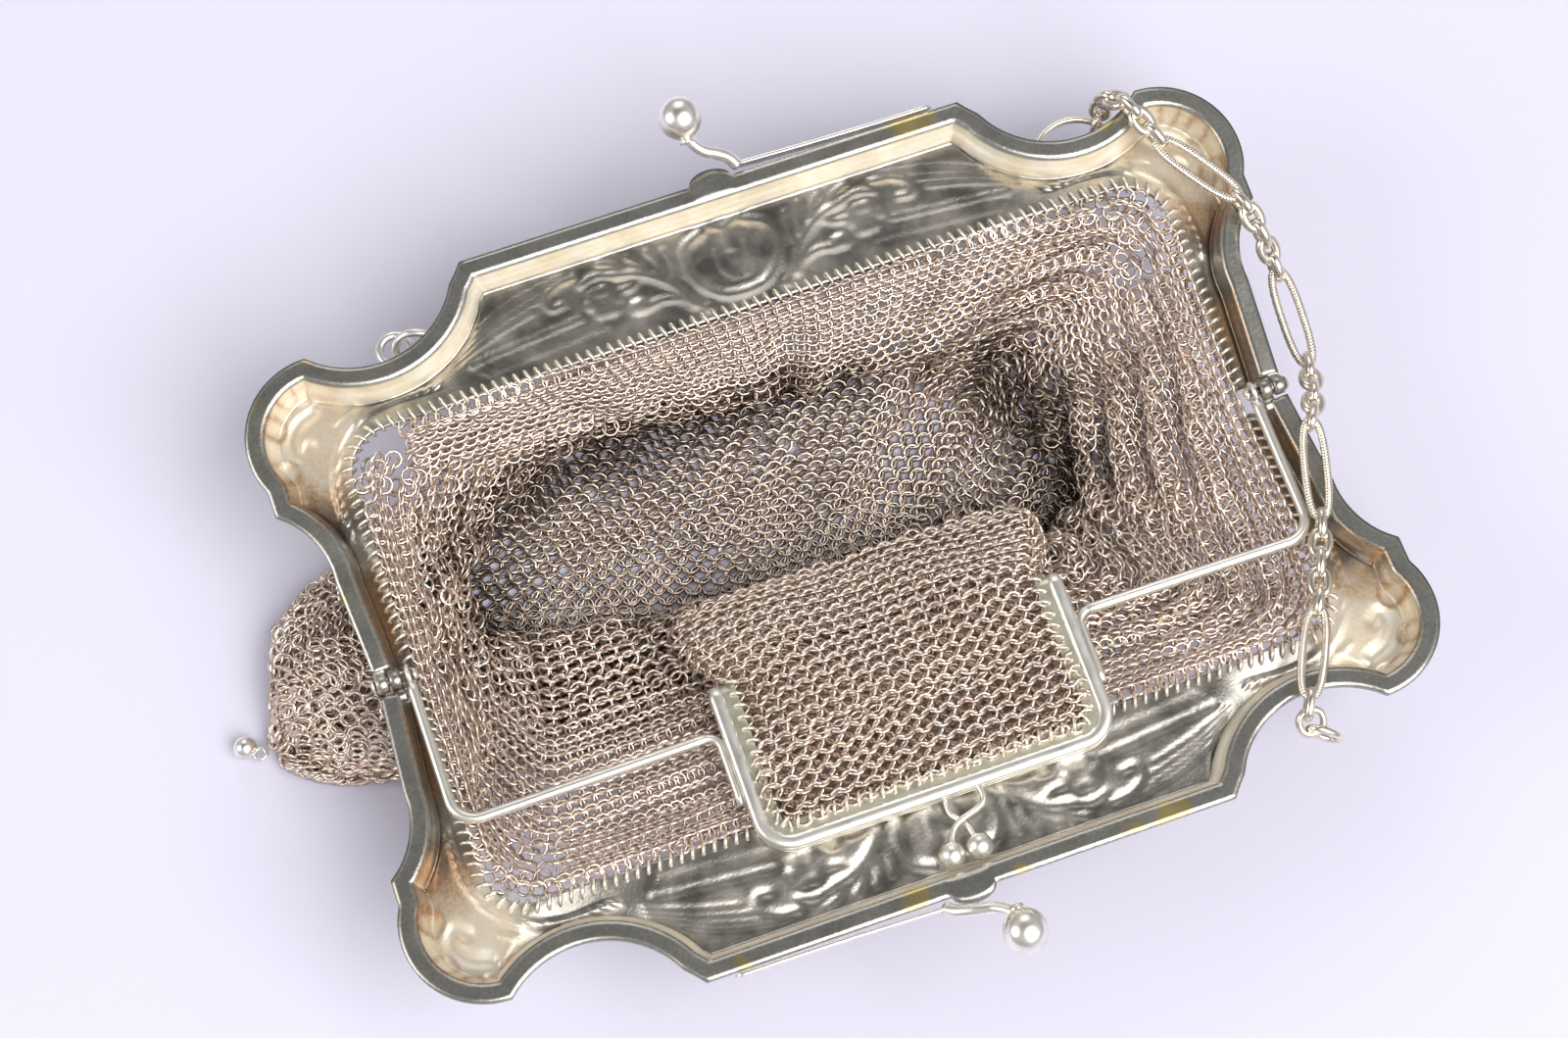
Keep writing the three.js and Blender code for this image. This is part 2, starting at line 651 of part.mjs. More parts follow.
// Soft walls
// A wall around a row of loops: a mid surface, thickened evenly and never let below its lowest height.
function softWall(loops, wall, innerRows, lowest = () => wall / 2) {
  const rows = loops.length;
  const around = loops[0].length;
  loops.flat().forEach((point) => point.setZ(Math.max(point.z, lowest(point))));
  const normals = loops.map((loop, k) => loop.map((point, i) => {
    const across = loop[(i + 1) % around].clone().sub(loop.at(i - 1));
    const down = loops[Math.min(k + 1, rows - 1)][i].clone().sub(loops[Math.max(k - 1, 0)][i]);
    return new THREE.Vector3().crossVectors(down, across).normalize();
  }));
  const skin = (sign, count) => loops.slice(0, count).map((loop, k) => loop.map((point, i) => (
    point.clone().addScaledVector(normals[k][i], (sign * wall) / 2)
  )));
  return loft([...skin(-1, innerRows).reverse(), ...skin(1, rows)]);
}

// Evenly spaced points around a closed curve that is sampled finely.
function evenLoop(curvePoints, count) {
  const closed = [...curvePoints, curvePoints[0]];
  const travelled = [0];
  closed.slice(1).forEach((point, i) => travelled.push(travelled[i] + point.distanceTo(closed[i])));
  let span = 0;
  return Array.from({ length: count }, (_, i) => {
    const wanted = (i / count) * travelled.at(-1);
    while (travelled[span + 1] < wanted) {
      span += 1;
    }
    const share = (wanted - travelled[span]) / (travelled[span + 1] - travelled[span]);
    return closed[span].clone().lerp(closed[span + 1], share);
  });
}

// Eases between the rows of a table, column by column.
function easedRow(rows, place) {
  const at = (index) => rows[THREE.MathUtils.clamp(index, 0, rows.length - 1)];
  const k = Math.min(Math.floor(place), rows.length - 2);
  const t = place - k;
  return at(k).map((value, column) => {
    const before = at(k - 1)[column];
    const next = at(k + 1)[column];
    const after = at(k + 2)[column];
    const slope = (next - before) / 2;
    const nextSlope = (after - value) / 2;
    const rise = next - value;
    return value + t * (slope + t * (3 * rise - 2 * slope - nextSlope
      + t * (slope + nextSlope - 2 * rise)));
  });
}

// The sack's sections from the mouth to the tail's tip, as the places of its left, right, front
// and back points. x is a share of the sack's half width, y of its half depth and z of the hinge
// height; square is 2 for an ellipse and more for a squarer section, and mix says how fast the
// side points' height gives way to the front and back points'.
const SACK_COLUMNS = [
  'leftX', 'leftY', 'leftZ', 'rightX', 'rightY', 'rightZ',
  'frontX', 'frontY', 'frontZ', 'backX', 'backY', 'backZ', 'square', 'mix',
];
const SACK = [
  [-1.00, 0.00, 0.865, 1.00, 0.00, 0.865, 0.00, -1.00, 0.990, 0.00, 1.00, 0.990, 10.0, 1.0],
  [-0.97, 0.03, 0.680, 0.95, 0.00, 0.730, 0.00, -0.87, 0.810, 0.00, 0.95, 0.700, 7.0, 1.5],
  [-0.94, 0.11, 0.530, 0.85, 0.00, 0.580, 0.00, -0.63, 0.660, 0.00, 0.90, 0.470, 5.0, 2.0],
  [-0.89, 0.24, 0.410, 0.75, 0.03, 0.430, -0.03, -0.35, 0.520, 0.00, 0.88, 0.290, 3.6, 2.0],
  [-0.86, 0.33, 0.310, 0.66, 0.05, 0.260, -0.06, -0.10, 0.400, -0.03, 0.93, 0.120, 2.8, 2.0],
  [-0.90, 0.37, 0.230, 0.65, 0.00, 0.090, -0.07, -0.08, 0.220, -0.12, 0.95, 0.025, 2.2, 2.0],
  [-0.96, 0.39, 0.270, 0.62, -0.13, 0.025, -0.15, -0.27, 0.125, -0.36, 0.91, 0.025, 1.8, 2.0],
  [-1.05, 0.37, 0.370, 0.51, -0.29, 0.025, -0.38, -0.35, 0.135, -0.64, 0.80, 0.025, 1.6, 2.0],
  [-1.15, 0.33, 0.450, 0.18, -0.40, 0.025, -0.73, -0.30, 0.170, -0.88, 0.71, 0.035, 1.6, 2.0],
  [-1.24, 0.27, 0.450, -0.38, -0.35, 0.025, -0.97, -0.20, 0.250, -1.06, 0.61, 0.085, 1.8, 2.0],
  [-1.32, 0.17, 0.350, -0.93, -0.21, 0.030, -1.16, -0.15, 0.250, -1.22, 0.47, 0.125, 2.0, 2.0],
  [-1.36, 0.08, 0.210, -1.26, -0.08, 0.035, -1.30, -0.11, 0.145, -1.32, 0.24, 0.105, 2.0, 2.0],
  [-1.39, 0.05, 0.130, -1.38, 0.02, 0.070, -1.39, 0.01, 0.100, -1.39, 0.06, 0.100, 2.0, 2.0],
];

// The sack's main folds: where around it from the right hand side (as a share of the way round),
// how wide, how far in, as a share of the sack's half depth, and between which rows.
const FOLDS = [
  { around: 0.975, width: 0.016, depth: 0.075, first: 0.5, last: 5 },
  { around: 0.030, width: 0.016, depth: 0.085, first: 0.5, last: 5 },
  { around: 0.085, width: 0.016, depth: 0.070, first: 0.5, last: 4.5 },
  { around: 0.200, width: 0.014, depth: 0.030, first: 0.5, last: 4 },
  { around: 0.300, width: 0.014, depth: 0.035, first: 0.5, last: 4 },
  { around: 0.640, width: 0.022, depth: 0.050, first: 1, last: 4.5 },
  { around: 0.850, width: 0.020, depth: 0.060, first: 1, last: 4.5 },
];

function sackLoop(place, count) {
  const row = Object.fromEntries(
    easedRow(SACK, place).map((value, i) => [SACK_COLUMNS[i], value]),
  );
  const spot = (x, y, z) => new THREE.Vector3(
    x * SACK_HALF_WIDTH,
    y * SACK_HALF_DEPTH,
    z * HINGE_HEIGHT,
  );
  const left = spot(row.leftX, row.leftY, row.leftZ);
  const right = spot(row.rightX, row.rightY, row.rightZ);
  const front = spot(row.frontX, row.frontY, row.frontZ);
  const back = spot(row.backX, row.backY, row.backZ);
  const sides = left.clone().lerp(right, 0.5);
  const ends = front.clone().lerp(back, 0.5);
  const fine = 240;
  const curve = Array.from({ length: fine }, (_, i) => {
    const angle = (i * 2 * Math.PI) / fine;
    const across = Math.sign(Math.cos(angle)) * Math.abs(Math.cos(angle)) ** (2 / row.square);
    const along = Math.sign(Math.sin(angle)) * Math.abs(Math.sin(angle)) ** (2 / row.square);
    return sides.clone().lerp(ends, Math.abs(along) ** row.mix)
      .addScaledVector(right.clone().sub(left), across / 2)
      .addScaledVector(back.clone().sub(front), along / 2);
  });
  return evenLoop(curve, count);
}

// The underside touches the table at three low places and a flat one in the middle, and ripples
// up by a little between them. x and y are shares as above, flat is a radius.
const RIPPLE_HEIGHT = 0.4;
const RIPPLE_RUN = 4;
const LOW_PLACES = [
  { x: 0.51, y: -0.29, flat: 0 },
  { x: 0.145, y: 0.84, flat: 0 },
  { x: -0.95, y: -0.10, flat: 0 },
  { x: 0.09, y: 0.05, flat: 11 },
];

function lowestHeight(point) {
  const lifts = LOW_PLACES.map((place) => {
    const away = Math.hypot(point.x - place.x * SACK_HALF_WIDTH, point.y - place.y * SACK_HALF_DEPTH);
    return THREE.MathUtils.clamp((away - place.flat) / RIPPLE_RUN, 0, 1);
  });
  return BAG_WALL / 2 + RIPPLE_HEIGHT * Math.min(...lifts);
}

function meshBag() {
  const around = 40;
  const places = [
    0, 1, 2, 2.8, 3.4, 3.9, 4.4, 5, 6, 7, 8, 9, 10, 11, 12,
  ];
  const loops = places.map((place) => sackLoop(place, around));
  loops.forEach((loop, k) => {
    const centre = loop.reduce((sum, point) => sum.add(point), new THREE.Vector3())
      .divideScalar(around);
    loop.forEach((point, i) => {
      const inward = centre.clone().sub(point).setZ(0).normalize();
      for (const fold of FOLDS) {
        const off = Math.abs(i / around - fold.around);
        const gap = Math.min(off, 1 - off);
        const reach = THREE.MathUtils.smoothstep(places[k], fold.first, fold.first + 1)
          * (1 - THREE.MathUtils.smoothstep(places[k], fold.last - 1, fold.last));
        const depth = fold.depth * SACK_HALF_DEPTH * reach * Math.exp(-((gap / fold.width) ** 2));
        point.addScaledVector(inward, depth);
      }
    });
  });
  return softWall(loops, BAG_WALL, loops.length - 3, lowestHeight);
}
addPiece('mesh_bag', meshBag(), FINISH.mesh);

// The coin pocket's sections from the frames to its closed end. y runs from the front bar to the
// mouth's middle, half is the half width as a share of the room between the frame's arms, and low
// and high are shares of the frame's height.
const POCKET = [
  { y: 0.00, half: 0.90, low: 1.01, high: 1.08 },
  { y: 0.08, half: 0.99, low: 0.99, high: 1.09 },
  { y: 0.36, half: 1.00, low: 0.87, high: 1.11 },
  { y: 0.62, half: 1.00, low: 0.78, high: 1.06 },
  { y: 0.76, half: 1.12, low: 0.69, high: 0.97 },
  { y: 0.89, half: 1.15, low: 0.62, high: 0.83 },
  { y: 0.96, half: 1.07, low: 0.62, high: 0.72 },
  { y: 0.98, half: 1.00, low: 0.655, high: 0.68 },
];

function coinPocket() {
  const around = 20;
  const frontY = COIN_FRONT_Y + COIN_BAR_WIDTH + CLEARANCE + POCKET_WALL / 2;
  const loops = POCKET.map((row) => {
    const low = row.low * COIN_FRAME_HEIGHT;
    const high = row.high * COIN_FRAME_HEIGHT;
    const flat = ellipsePath(row.half * POCKET_HALF_WIDTH, (high - low) / 2, 120, 3);
    return evenLoop(flat, around).map((point) => new THREE.Vector3(
      COIN_CENTRE_X + point.x,
      frontY * (1 - row.y) - 2 * row.y,
      (low + high) / 2 + point.y,
    ));
  });
  return softWall(loops, POCKET_WALL, loops.length - 1);
}
addPiece('coin_pocket', coinPocket(), FINISH.mesh);

// Drop ball at the sack's tip, with a small loop
const tipX = SACK.at(-1)[0] * SACK_HALF_WIDTH;
const loopCentre = new THREE.Vector3(
  tipX - CLEARANCE - BAG_WALL - DROP_LOOP_RADIUS,
  SACK.at(-1)[1] * SACK_HALF_DEPTH,
  DROP_BALL_RADIUS,
);
const dropLean = THREE.MathUtils.degToRad(DROP_LEAN_DEGREES);
const dropCentre = loopCentre.clone().addScaledVector(
  new THREE.Vector3(Math.cos(dropLean), Math.sin(dropLean), 0),
  DROP_LOOP_RADIUS + DROP_BALL_RADIUS - DROP_LOOP_WIRE,
);
addPiece(
  'drop_ball',
  geometryOf(fuse([
    sphere(DROP_BALL_RADIUS, dropCentre, 10, 7),
    ring(DROP_LOOP_RADIUS, DROP_LOOP_WIRE, 10, 5).translate(...loopCentre.toArray()),
  ])),
  FINISH.bright,
);

// Handle chain: curb links and long woven loops, from the carrying ring over the frame's right
// side to the free end past the front notch. The route is chosen by hand.
const CHAIN_ROUTE = [
  [62.05, 51.1, 19.6], [63.1, 52.2, 22.4], [63.6, 52.8, 26.4], [65.0, 50.8, 30.1],
  [67.0, 46.4, 30.2], [68.8, 42.4, 28.4], [73.9, 35.4, 27.2], [77.1, 28.6, 29.0],
  [78.2, 24.0, 27.6], [79.2, 20.8, 24.8], [79.8, 17.2, 22.0], [79.9, 11.8, 19.2],
  [79.9, 5.8, 18.9], [78.6, 0.8, 20.8], [76.6, -4.2, 24.4], [73.6, -8.9, 27.1],
  [71.6, -15.6, 26.9], [69.2, -24.4, 26.6], [67.2, -28.4, 26.6], [65.6, -32.4, 26.6],
  [63.9, -35.8, 26.8], [60.4, -41.0, 27.4], [57.6, -47.2, 30.0], [55.8, -50.2, 30.4],
  [55.2, -52.4, 29.2], [56.6, -54.9, 27.4], [60.0, -55.6, 26.2],
];
const LINK_KINDS = {
  connector: { length: CONNECTOR_RADIUS, width: CONNECTOR_RADIUS, wire: LINK_WIRE },
  curb: { length: LINK_HALF_LENGTH, width: LINK_HALF_WIDTH, wire: LINK_WIRE },
  cord: { length: CORD_HALF_LENGTH, width: CORD_HALF_WIDTH, wire: CORD_WIRE },
  end: { length: END_LINK_HALF_LENGTH, width: END_LINK_HALF_WIDTH, wire: LINK_WIRE },
};
const CHAIN_ORDER = [
  ['connector', 1], ['curb', 6], ['cord', 1], ['curb', 5], ['cord', 1], ['curb', 5],
  ['cord', 1], ['curb', 5], ['cord', 1], ['curb', 1], ['connector', 1], ['end', 1],
];

function handleChain() {
  const curve = new THREE.CatmullRomCurve3(CHAIN_ROUTE.map((point) => new THREE.Vector3(...point)));
  const fine = 400;
  const length = curve.getLength();
  const samples = curve.getSpacedPoints(fine);
  const at = (distance) => {
    const place = THREE.MathUtils.clamp(distance / length, 0, 1) * fine;
    const index = Math.min(Math.floor(place), fine - 1);
    return samples[index].clone().lerp(samples[index + 1], place - index);
  };
  const links = CHAIN_ORDER.flatMap(([kind, count]) => Array(count).fill(kind));
  let centre = LINK_KINDS.connector.length;
  let before = null;
  let upright = true;
  const geometries = links.map((kind) => {
    const { length: reach, width, wire } = LINK_KINDS[kind];
    if (before) {
      centre += before.length + reach - before.wire - wire + LINK_FUSE;
      upright = kind === 'cord' ? false : !upright;
    }
    before = LINK_KINDS[kind];
    const near = at(centre - reach);
    const far = at(centre + reach);
    const along = far.clone().sub(near).normalize();
    const level = new THREE.Vector3().crossVectors(up, along).normalize();
    const lift = new THREE.Vector3().crossVectors(along, level);
    const segments = kind === 'cord' ? 12 : 10;
    const squareness = 2.6;
    const loop = sweep(ellipsePath(reach, width, segments, squareness), regularPolygon(5, wire), true);
    return placed(loop, near.lerp(far, 0.5), along, upright ? level : lift);
  });
  return geometryOf(fuse(geometries));
}
addPiece('handle_chain', handleChain(), FINISH.chain);

export default group;
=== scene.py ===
"""Metal mesh purse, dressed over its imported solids.

Shapes are worked out in millimetres in the part's own frame (+X along the hinge line, +Y to the
back half, +Z up, origin on the table) and are put into meshes in metres.
"""

import math
from functools import partial

import bpy
import numpy as np
from bpy.props import FloatProperty, FloatVectorProperty, IntProperty, PointerProperty
from mathutils import Matrix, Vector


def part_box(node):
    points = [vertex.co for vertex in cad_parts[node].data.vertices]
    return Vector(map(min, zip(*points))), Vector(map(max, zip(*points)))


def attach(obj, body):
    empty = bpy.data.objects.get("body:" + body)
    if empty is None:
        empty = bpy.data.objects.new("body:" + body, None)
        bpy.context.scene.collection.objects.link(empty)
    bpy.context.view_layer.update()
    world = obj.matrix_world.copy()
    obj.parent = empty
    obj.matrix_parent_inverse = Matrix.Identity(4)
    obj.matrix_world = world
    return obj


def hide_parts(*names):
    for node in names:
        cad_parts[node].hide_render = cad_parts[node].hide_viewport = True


bl_info = {
    "name": "Metal mesh purse",
    "version": (1, 0, 0),
    "blender": (4, 5, 0),
    "location": "View3D > Sidebar > Purse",
    "description": "Ring mesh, pressed frame, coin purse and chain over the packed solids",
    "category": "Add Mesh",
}

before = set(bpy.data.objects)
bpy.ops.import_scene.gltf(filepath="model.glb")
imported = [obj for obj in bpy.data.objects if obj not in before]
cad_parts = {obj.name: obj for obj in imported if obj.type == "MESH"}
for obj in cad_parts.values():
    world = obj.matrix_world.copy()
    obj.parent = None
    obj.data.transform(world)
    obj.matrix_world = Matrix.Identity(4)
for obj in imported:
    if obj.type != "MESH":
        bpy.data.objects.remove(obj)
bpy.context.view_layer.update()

MM = 0.001
UP = np.array([0.0, 0.0, 1.0])
TURN = 2 * np.pi

# Frame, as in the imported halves
HINGE_HEIGHT = 24
HALF_RAISE = math.radians(4.8)
FRAME_HALF_WIDTH = 82.2
FRAME_HALF_DEPTH = 59.3
MOUTH_HALF_WIDTH = 66.9
MOUTH_HALF_DEPTH = 38.8
MOUTH_CORNER_RADIUS = 7
RIM_WIDTH = 2.9
SHEET = 0.9
PANEL_DEPTH = 4.5
MOUTH_EDGE_DEPTH = 3.1
TAB_HALF_WIDTH = 3.4
TAB_HEIGHT = 1.9
CLEARANCE = 0.3

# Coin purse
COIN_CENTRE_X = 1
COIN_HALF_WIDTH = 28
COIN_BACK_Y = -18
COIN_FRONT_Y = -44.8
COIN_CORNER_RADIUS = 4.5
COIN_BAR_WIDTH = 2.2
COIN_BAR_HEIGHT = 1.6
COIN_FRAME_HEIGHT = HINGE_HEIGHT + 1.8
COIN_LID_HEIGHT = COIN_FRAME_HEIGHT + COIN_BAR_HEIGHT + CLEARANCE
COIN_FLANGE_WIDTH = 2.4
BAIL_RADIUS = 0.85
BAIL_CROSS_Y = -24.4
BAIL_CORNER_RADIUS = 4
BAIL_BEND_RADIUS = 2
BAIL_FOOT = 10
POCKET_WALL = 1
POCKET_HALF_WIDTH = COIN_HALF_WIDTH - COIN_BAR_WIDTH - CLEARANCE - POCKET_WALL / 2

# Sack
BAG_WALL = 1.2
SACK_HALF_WIDTH = MOUTH_HALF_WIDTH - CLEARANCE - BAG_WALL / 2
SACK_HALF_DEPTH = MOUTH_HALF_DEPTH - CLEARANCE - BAG_WALL / 2


def linear(hex_colour):
    """The one sRGB hex to linear RGB conversion."""
    parts = np.array([int(hex_colour[i:i + 2], 16) / 255 for i in (1, 3, 5)])
    return tuple(np.where(parts <= 0.04045, parts / 12.92, ((parts + 0.055) / 1.055) ** 2.4))


# Shapes: a shape is a pair of points (n, 3) and a list of face arrays

def unit(vectors):
    """Vectors divided by their lengths."""
    lengths = np.linalg.norm(vectors, axis=-1, keepdims=True)
    return vectors / np.where(lengths > 1e-12, lengths, 1)


def smooth_step(low, high, value):
    """Rises from 0 at low to 1 at high: three times the share squared less twice its cube."""
    t = np.clip((value - low) / (high - low), 0, 1)
    return t * t * (3 - 2 * t)


def plateau(start, full, falling, end, value):
    """Rises from start to full and falls from falling to end, each by a smooth step."""
    return smooth_step(start, full, value) * (1 - smooth_step(falling, end, value))


def signed_power(value, power):
    """The sign of a value times its size to a power."""
    return np.sign(value) * np.abs(value) ** power


def eased(value, rise, start, end, t):
    """The cubic that leaves value with the slope start and has risen by rise, with the slope end,
    when t is 1."""
    return value + t * (start + t * (3 * rise - 2 * start - end + t * (start + end - 2 * rise)))


def lengths_along(path):
    """Length walked along a path up to each of its points."""
    return np.concatenate([[0], np.cumsum(np.linalg.norm(np.diff(path, axis=0), axis=1))])


def lengths_down(surface):
    """Length walked down every meridian of a surface up to each of its rows."""
    return np.cumsum(np.linalg.norm(np.diff(surface, axis=0, prepend=surface[:1]), axis=2), axis=0)


def way_round(share, where):
    """The shorter way round the loop between a place and every share of it, as a row."""
    away = np.abs(share - where)
    return np.minimum(away, 1 - away)[None]


def join(*shapes):
    """Puts shapes into one list of points and one list of faces."""
    starts = np.cumsum([0] + [len(points) for points, _ in shapes])
    faces = [face + start for (_, found), start in zip(shapes, starts) for face in found]
    return np.vstack([points for points, _ in shapes]), faces


def outward(shape):
    """Turns a closed shape inside out if its enclosed volume, summed over its faces, is negative."""
    points, faces = shape
    volume = 0.0
    for face in faces:
        corners = points[face]
        for k in range(1, face.shape[1] - 1):
            cross = np.cross(corners[:, k], corners[:, k + 1])
            volume += np.einsum("ij,ij->", corners[:, 0], cross)
    return (points, [face[:, ::-1] for face in faces]) if volume < 0 else shape


def grid(loops, closed_rows=False):
    """Skins rows of equal closed loops, (rows, around, 3), and closes open ends round their centres."""
    rows, around, _ = loops.shape
    row = np.arange(rows if closed_rows else rows - 1)[:, None]
    column = np.arange(around)[None, :]
    below, beside = (row + 1) % rows, (column + 1) % around
    quads = np.stack(np.broadcast_arrays(
        row * around + column, row * around + beside,
        below * around + beside, below * around + column,
    ), -1).reshape(-1, 4)
    points = loops.reshape(-1, 3)
    faces = [quads]
    if not closed_rows:
        ring = np.arange(around)
        following = np.roll(ring, -1)
        last = (rows - 1) * around
        ends = np.array([loops[0].mean(0), loops[-1].mean(0)])
        first_fan = np.stack([np.full(around, len(points)), following, ring], 1)
        last_fan = np.stack([np.full(around, len(points) + 1), last + ring, last + following], 1)
        points = np.vstack([points, ends])
        faces += [first_fan, last_fan]
    return outward((points, faces))


def circle(radius, sides):
    """A round section: radius times cosine and sine."""
    angle = (np.arange(sides) + 0.5) * TURN / sides
    return radius * np.stack([np.cos(angle), np.sin(angle)], 1)


def oval(half_length, half_width, segments, exponent=2.0):
    """A flat closed path whose x and y are signed powers 2/exponent of cosine and sine."""
    angle = (np.arange(segments) + 0.5) * TURN / segments
    x = half_length * signed_power(np.cos(angle), 2 / exponent)
    y = half_width * signed_power(np.sin(angle), 2 / exponent)
    return np.stack([x, y, np.zeros(segments)], 1)


def rounded_box(width, height, exponent=4, sides=16):
    """A squarish section, an oval's x and y."""
    return oval(width / 2, height / 2, sides, exponent)[:, :2]


def path_axes(path, closed=False):
    """Unit tangent, level side and lift along a path: the side is square to the tangent and to up,
    and the lift to both."""
    before = np.roll(path, 1, 0) if closed else np.vstack([path[:1], path[:-1]])
    after = np.roll(path, -1, 0) if closed else np.vstack([path[1:], path[-1:]])
    tangent = unit(unit(path - before) + unit(after - path))
    side = unit(np.cross(np.broadcast_to(UP, tangent.shape), tangent))
    return tangent, side, np.cross(tangent, side)


def sweep(path, section, closed=False, scale=None):
    """Carries a flat section along a path: point + side times section x + lift times section y."""
    _, side, lift = path_axes(path, closed)
    size = np.ones(len(path)) if scale is None else scale
    loops = (path[:, None] + side[:, None] * (section[None, :, :1] * size[:, None, None])
             + lift[:, None] * (section[None, :, 1:] * size[:, None, None]))
    return grid(loops, closed_rows=closed)


def ball(centre, radius, around=32, down=20):
    """A sphere from pole to pole: radius times sine and cosine of the two angles."""
    polar = (np.arange(down) + 0.5)[:, None] * np.pi / down
    turn = np.arange(around)[None, :] * TURN / around
    loops = np.stack(np.broadcast_arrays(
        np.sin(polar) * np.cos(turn), np.sin(polar) * np.sin(turn), np.cos(polar) + 0 * turn,
    ), -1)
    points, faces = grid(loops * radius + centre)
    points[-2:] = np.array(centre) + np.array([[0, 0, radius], [0, 0, -radius]])
    return points, faces


def placed(shape, centre, x_axis, normal):
    """Turns a flat shape so that its own X and Z run along two given directions, and moves it."""
    points, faces = shape
    x = unit(np.array(x_axis, float))
    z = unit(np.array(normal, float) - np.dot(normal, x) * x)
    basis = np.array([x, np.cross(z, x), z])
    return points @ basis + centre, faces


def wire_ring(radius, wire, segments=48, sides=10):
    """A flat ring of round wire: a circle carried round a circle."""
    return sweep(oval(radius, radius, segments), circle(wire, sides), closed=True)


def even_steps(path, count, closed=False):
    """Points evenly spaced by length along a finely sampled path."""
    line = np.vstack([path, path[:1]]) if closed else path
    travelled = lengths_along(line)
    wanted = np.linspace(0, travelled[-1], count, endpoint=not closed)
    return np.stack([np.interp(wanted, travelled, line[:, axis]) for axis in range(line.shape[1])], 1)


def curve_through(points, per_span=24):
    """A centripetal Catmull-Rom curve through chosen points, sampled finely."""
    points = np.array(points, float)
    line = np.vstack([2 * points[0] - points[1], points, 2 * points[-1] - points[-2]])
    p0, p1, p2, p3 = line[:-3, None], line[1:-2, None], line[2:-1, None], line[3:, None]
    gap = np.sqrt(np.linalg.norm(np.diff(line, axis=0), axis=1))[:, None, None]
    d0, d1, d2 = gap[:-2], gap[1:-1], gap[2:]
    start = ((p1 - p0) / d0 - (p2 - p0) / (d0 + d1) + (p2 - p1) / d1) * d1
    end = ((p2 - p1) / d1 - (p3 - p1) / (d1 + d2) + (p3 - p2) / d2) * d1
    t = np.linspace(0, 1, per_span, endpoint=False)[None, :, None]
    return np.vstack([eased(p1, p2 - p1, start, end, t).reshape(-1, 3), points[-1:]])


# Steps round a ring of the mesh and round its wire, few because there are thousands of rings.
RING_SEGMENTS = 10
RING_SIDES = 3


def many_rings(centres, along, normal, radius, wire, segments=RING_SEGMENTS, sides=RING_SIDES):
    """Wire rings as one array: centre + (radius + wire cos v)(cos u along + sin u across) +
    wire sin v normal."""
    u = (np.arange(segments) * TURN / segments)[:, None]
    v = (np.arange(sides) * TURN / sides + np.pi / 2)[None, :]
    reach = radius + wire * np.cos(v)
    local = np.stack(np.broadcast_arrays(
        reach * np.cos(u), reach * np.sin(u), wire * np.sin(v) + 0 * u,
    ), -1).reshape(-1, 3)
    along = unit(along)
    normal = unit(normal - np.sum(normal * along, 1, keepdims=True) * along)
    basis = np.stack([along, np.cross(normal, along), normal], 1)
    points = (centres[:, None, :] + local @ basis).reshape(-1, 3)
    one = grid(local.reshape(segments, sides, 3), closed_rows=True)[1][0]
    starts = np.arange(len(centres))[:, None, None] * segments * sides
    return points, [(one[None] + starts).reshape(-1, 4)]


def put_mesh(name, shape, material, replaced=(), values=None):
    """Writes a shape into a mesh object at the origin, gives it its finish and hands it to the frame."""
    points, faces = shape
    sizes = np.concatenate([np.full(len(face), face.shape[1]) for face in faces])
    corners = np.concatenate([face.ravel() for face in faces]).astype(np.int32)
    mesh = bpy.data.meshes.new(name)
    mesh.vertices.add(len(points))
    mesh.vertices.foreach_set("co", (points * MM).astype(np.float32).ravel())
    mesh.loops.add(len(corners))
    mesh.loops.foreach_set("vertex_index", corners)
    mesh.polygons.add(len(sizes))
    mesh.polygons.foreach_set("loop_start", (np.cumsum(sizes) - sizes).astype(np.int32))
    mesh.polygons.foreach_set("use_smooth", np.ones(len(sizes), bool))
    for label, column in (values or {}).items():
        attribute = mesh.attributes.new(label, "FLOAT", "POINT")
        attribute.data.foreach_set("value", np.asarray(column, np.float32))
    mesh.update(calc_edges=True)
    mesh.materials.append(material)
    piece = bpy.data.objects.new(name, mesh)
    bpy.context.scene.collection.objects.link(piece)
    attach(piece, "root")
    if replaced:
        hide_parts(*replaced)


# Materials

# Sizes in mm of the patterns in the finishes. The grain of the real sheet and wire is finer, and is
# drawn as coarse as it needs to show.
SHEET_CLOUD = 5.0
SHEET_GRAIN = 0.5
RIM_STAIN = 9.0
POLISH_SMUDGE = 2.5
POLISH_GRAIN = 0.6
WIRE_SPECK = 0.7
WIRE_GRAIN = 0.3
FLOOR_CLOUD = 300.0


def fill(tree, node, inputs):
    """Fills inputs of a node, each with a value or a link."""
    for key, value in inputs.items():
        if isinstance(value, bpy.types.NodeSocket):
            tree.links.new(value, node.inputs[key])
        else:
            node.inputs[key].default_value = value


def add_node(tree, kind, inputs=None, output=0, **settings):
    """Adds a node, sets its own settings, fills its inputs and gives back one output."""
    node = tree.nodes.new(kind)
    for name, value in settings.items():
        setattr(node, name, value)
    fill(tree, node, inputs or {})
    return node.outputs[output]


def rgba(colour):
    """A linear colour with full alpha."""
    return (*colour, 1.0)


def per_mm(size):
    """The scale that makes a noise pattern's blotches about size millimetres across."""
    return 1 / (size * MM)


def two_tones(tree, pattern, low, high, first, second):
    """Mixes two colours by a pattern's share of the span from low to high."""
    share = add_node(tree, "ShaderNodeMapRange", {"Value": pattern, "From Min": low, "From Max": high})
    return add_node(tree, "ShaderNodeMix", {0: share, 6: rgba(first), 7: rgba(second)}, 2, data_type="RGBA")


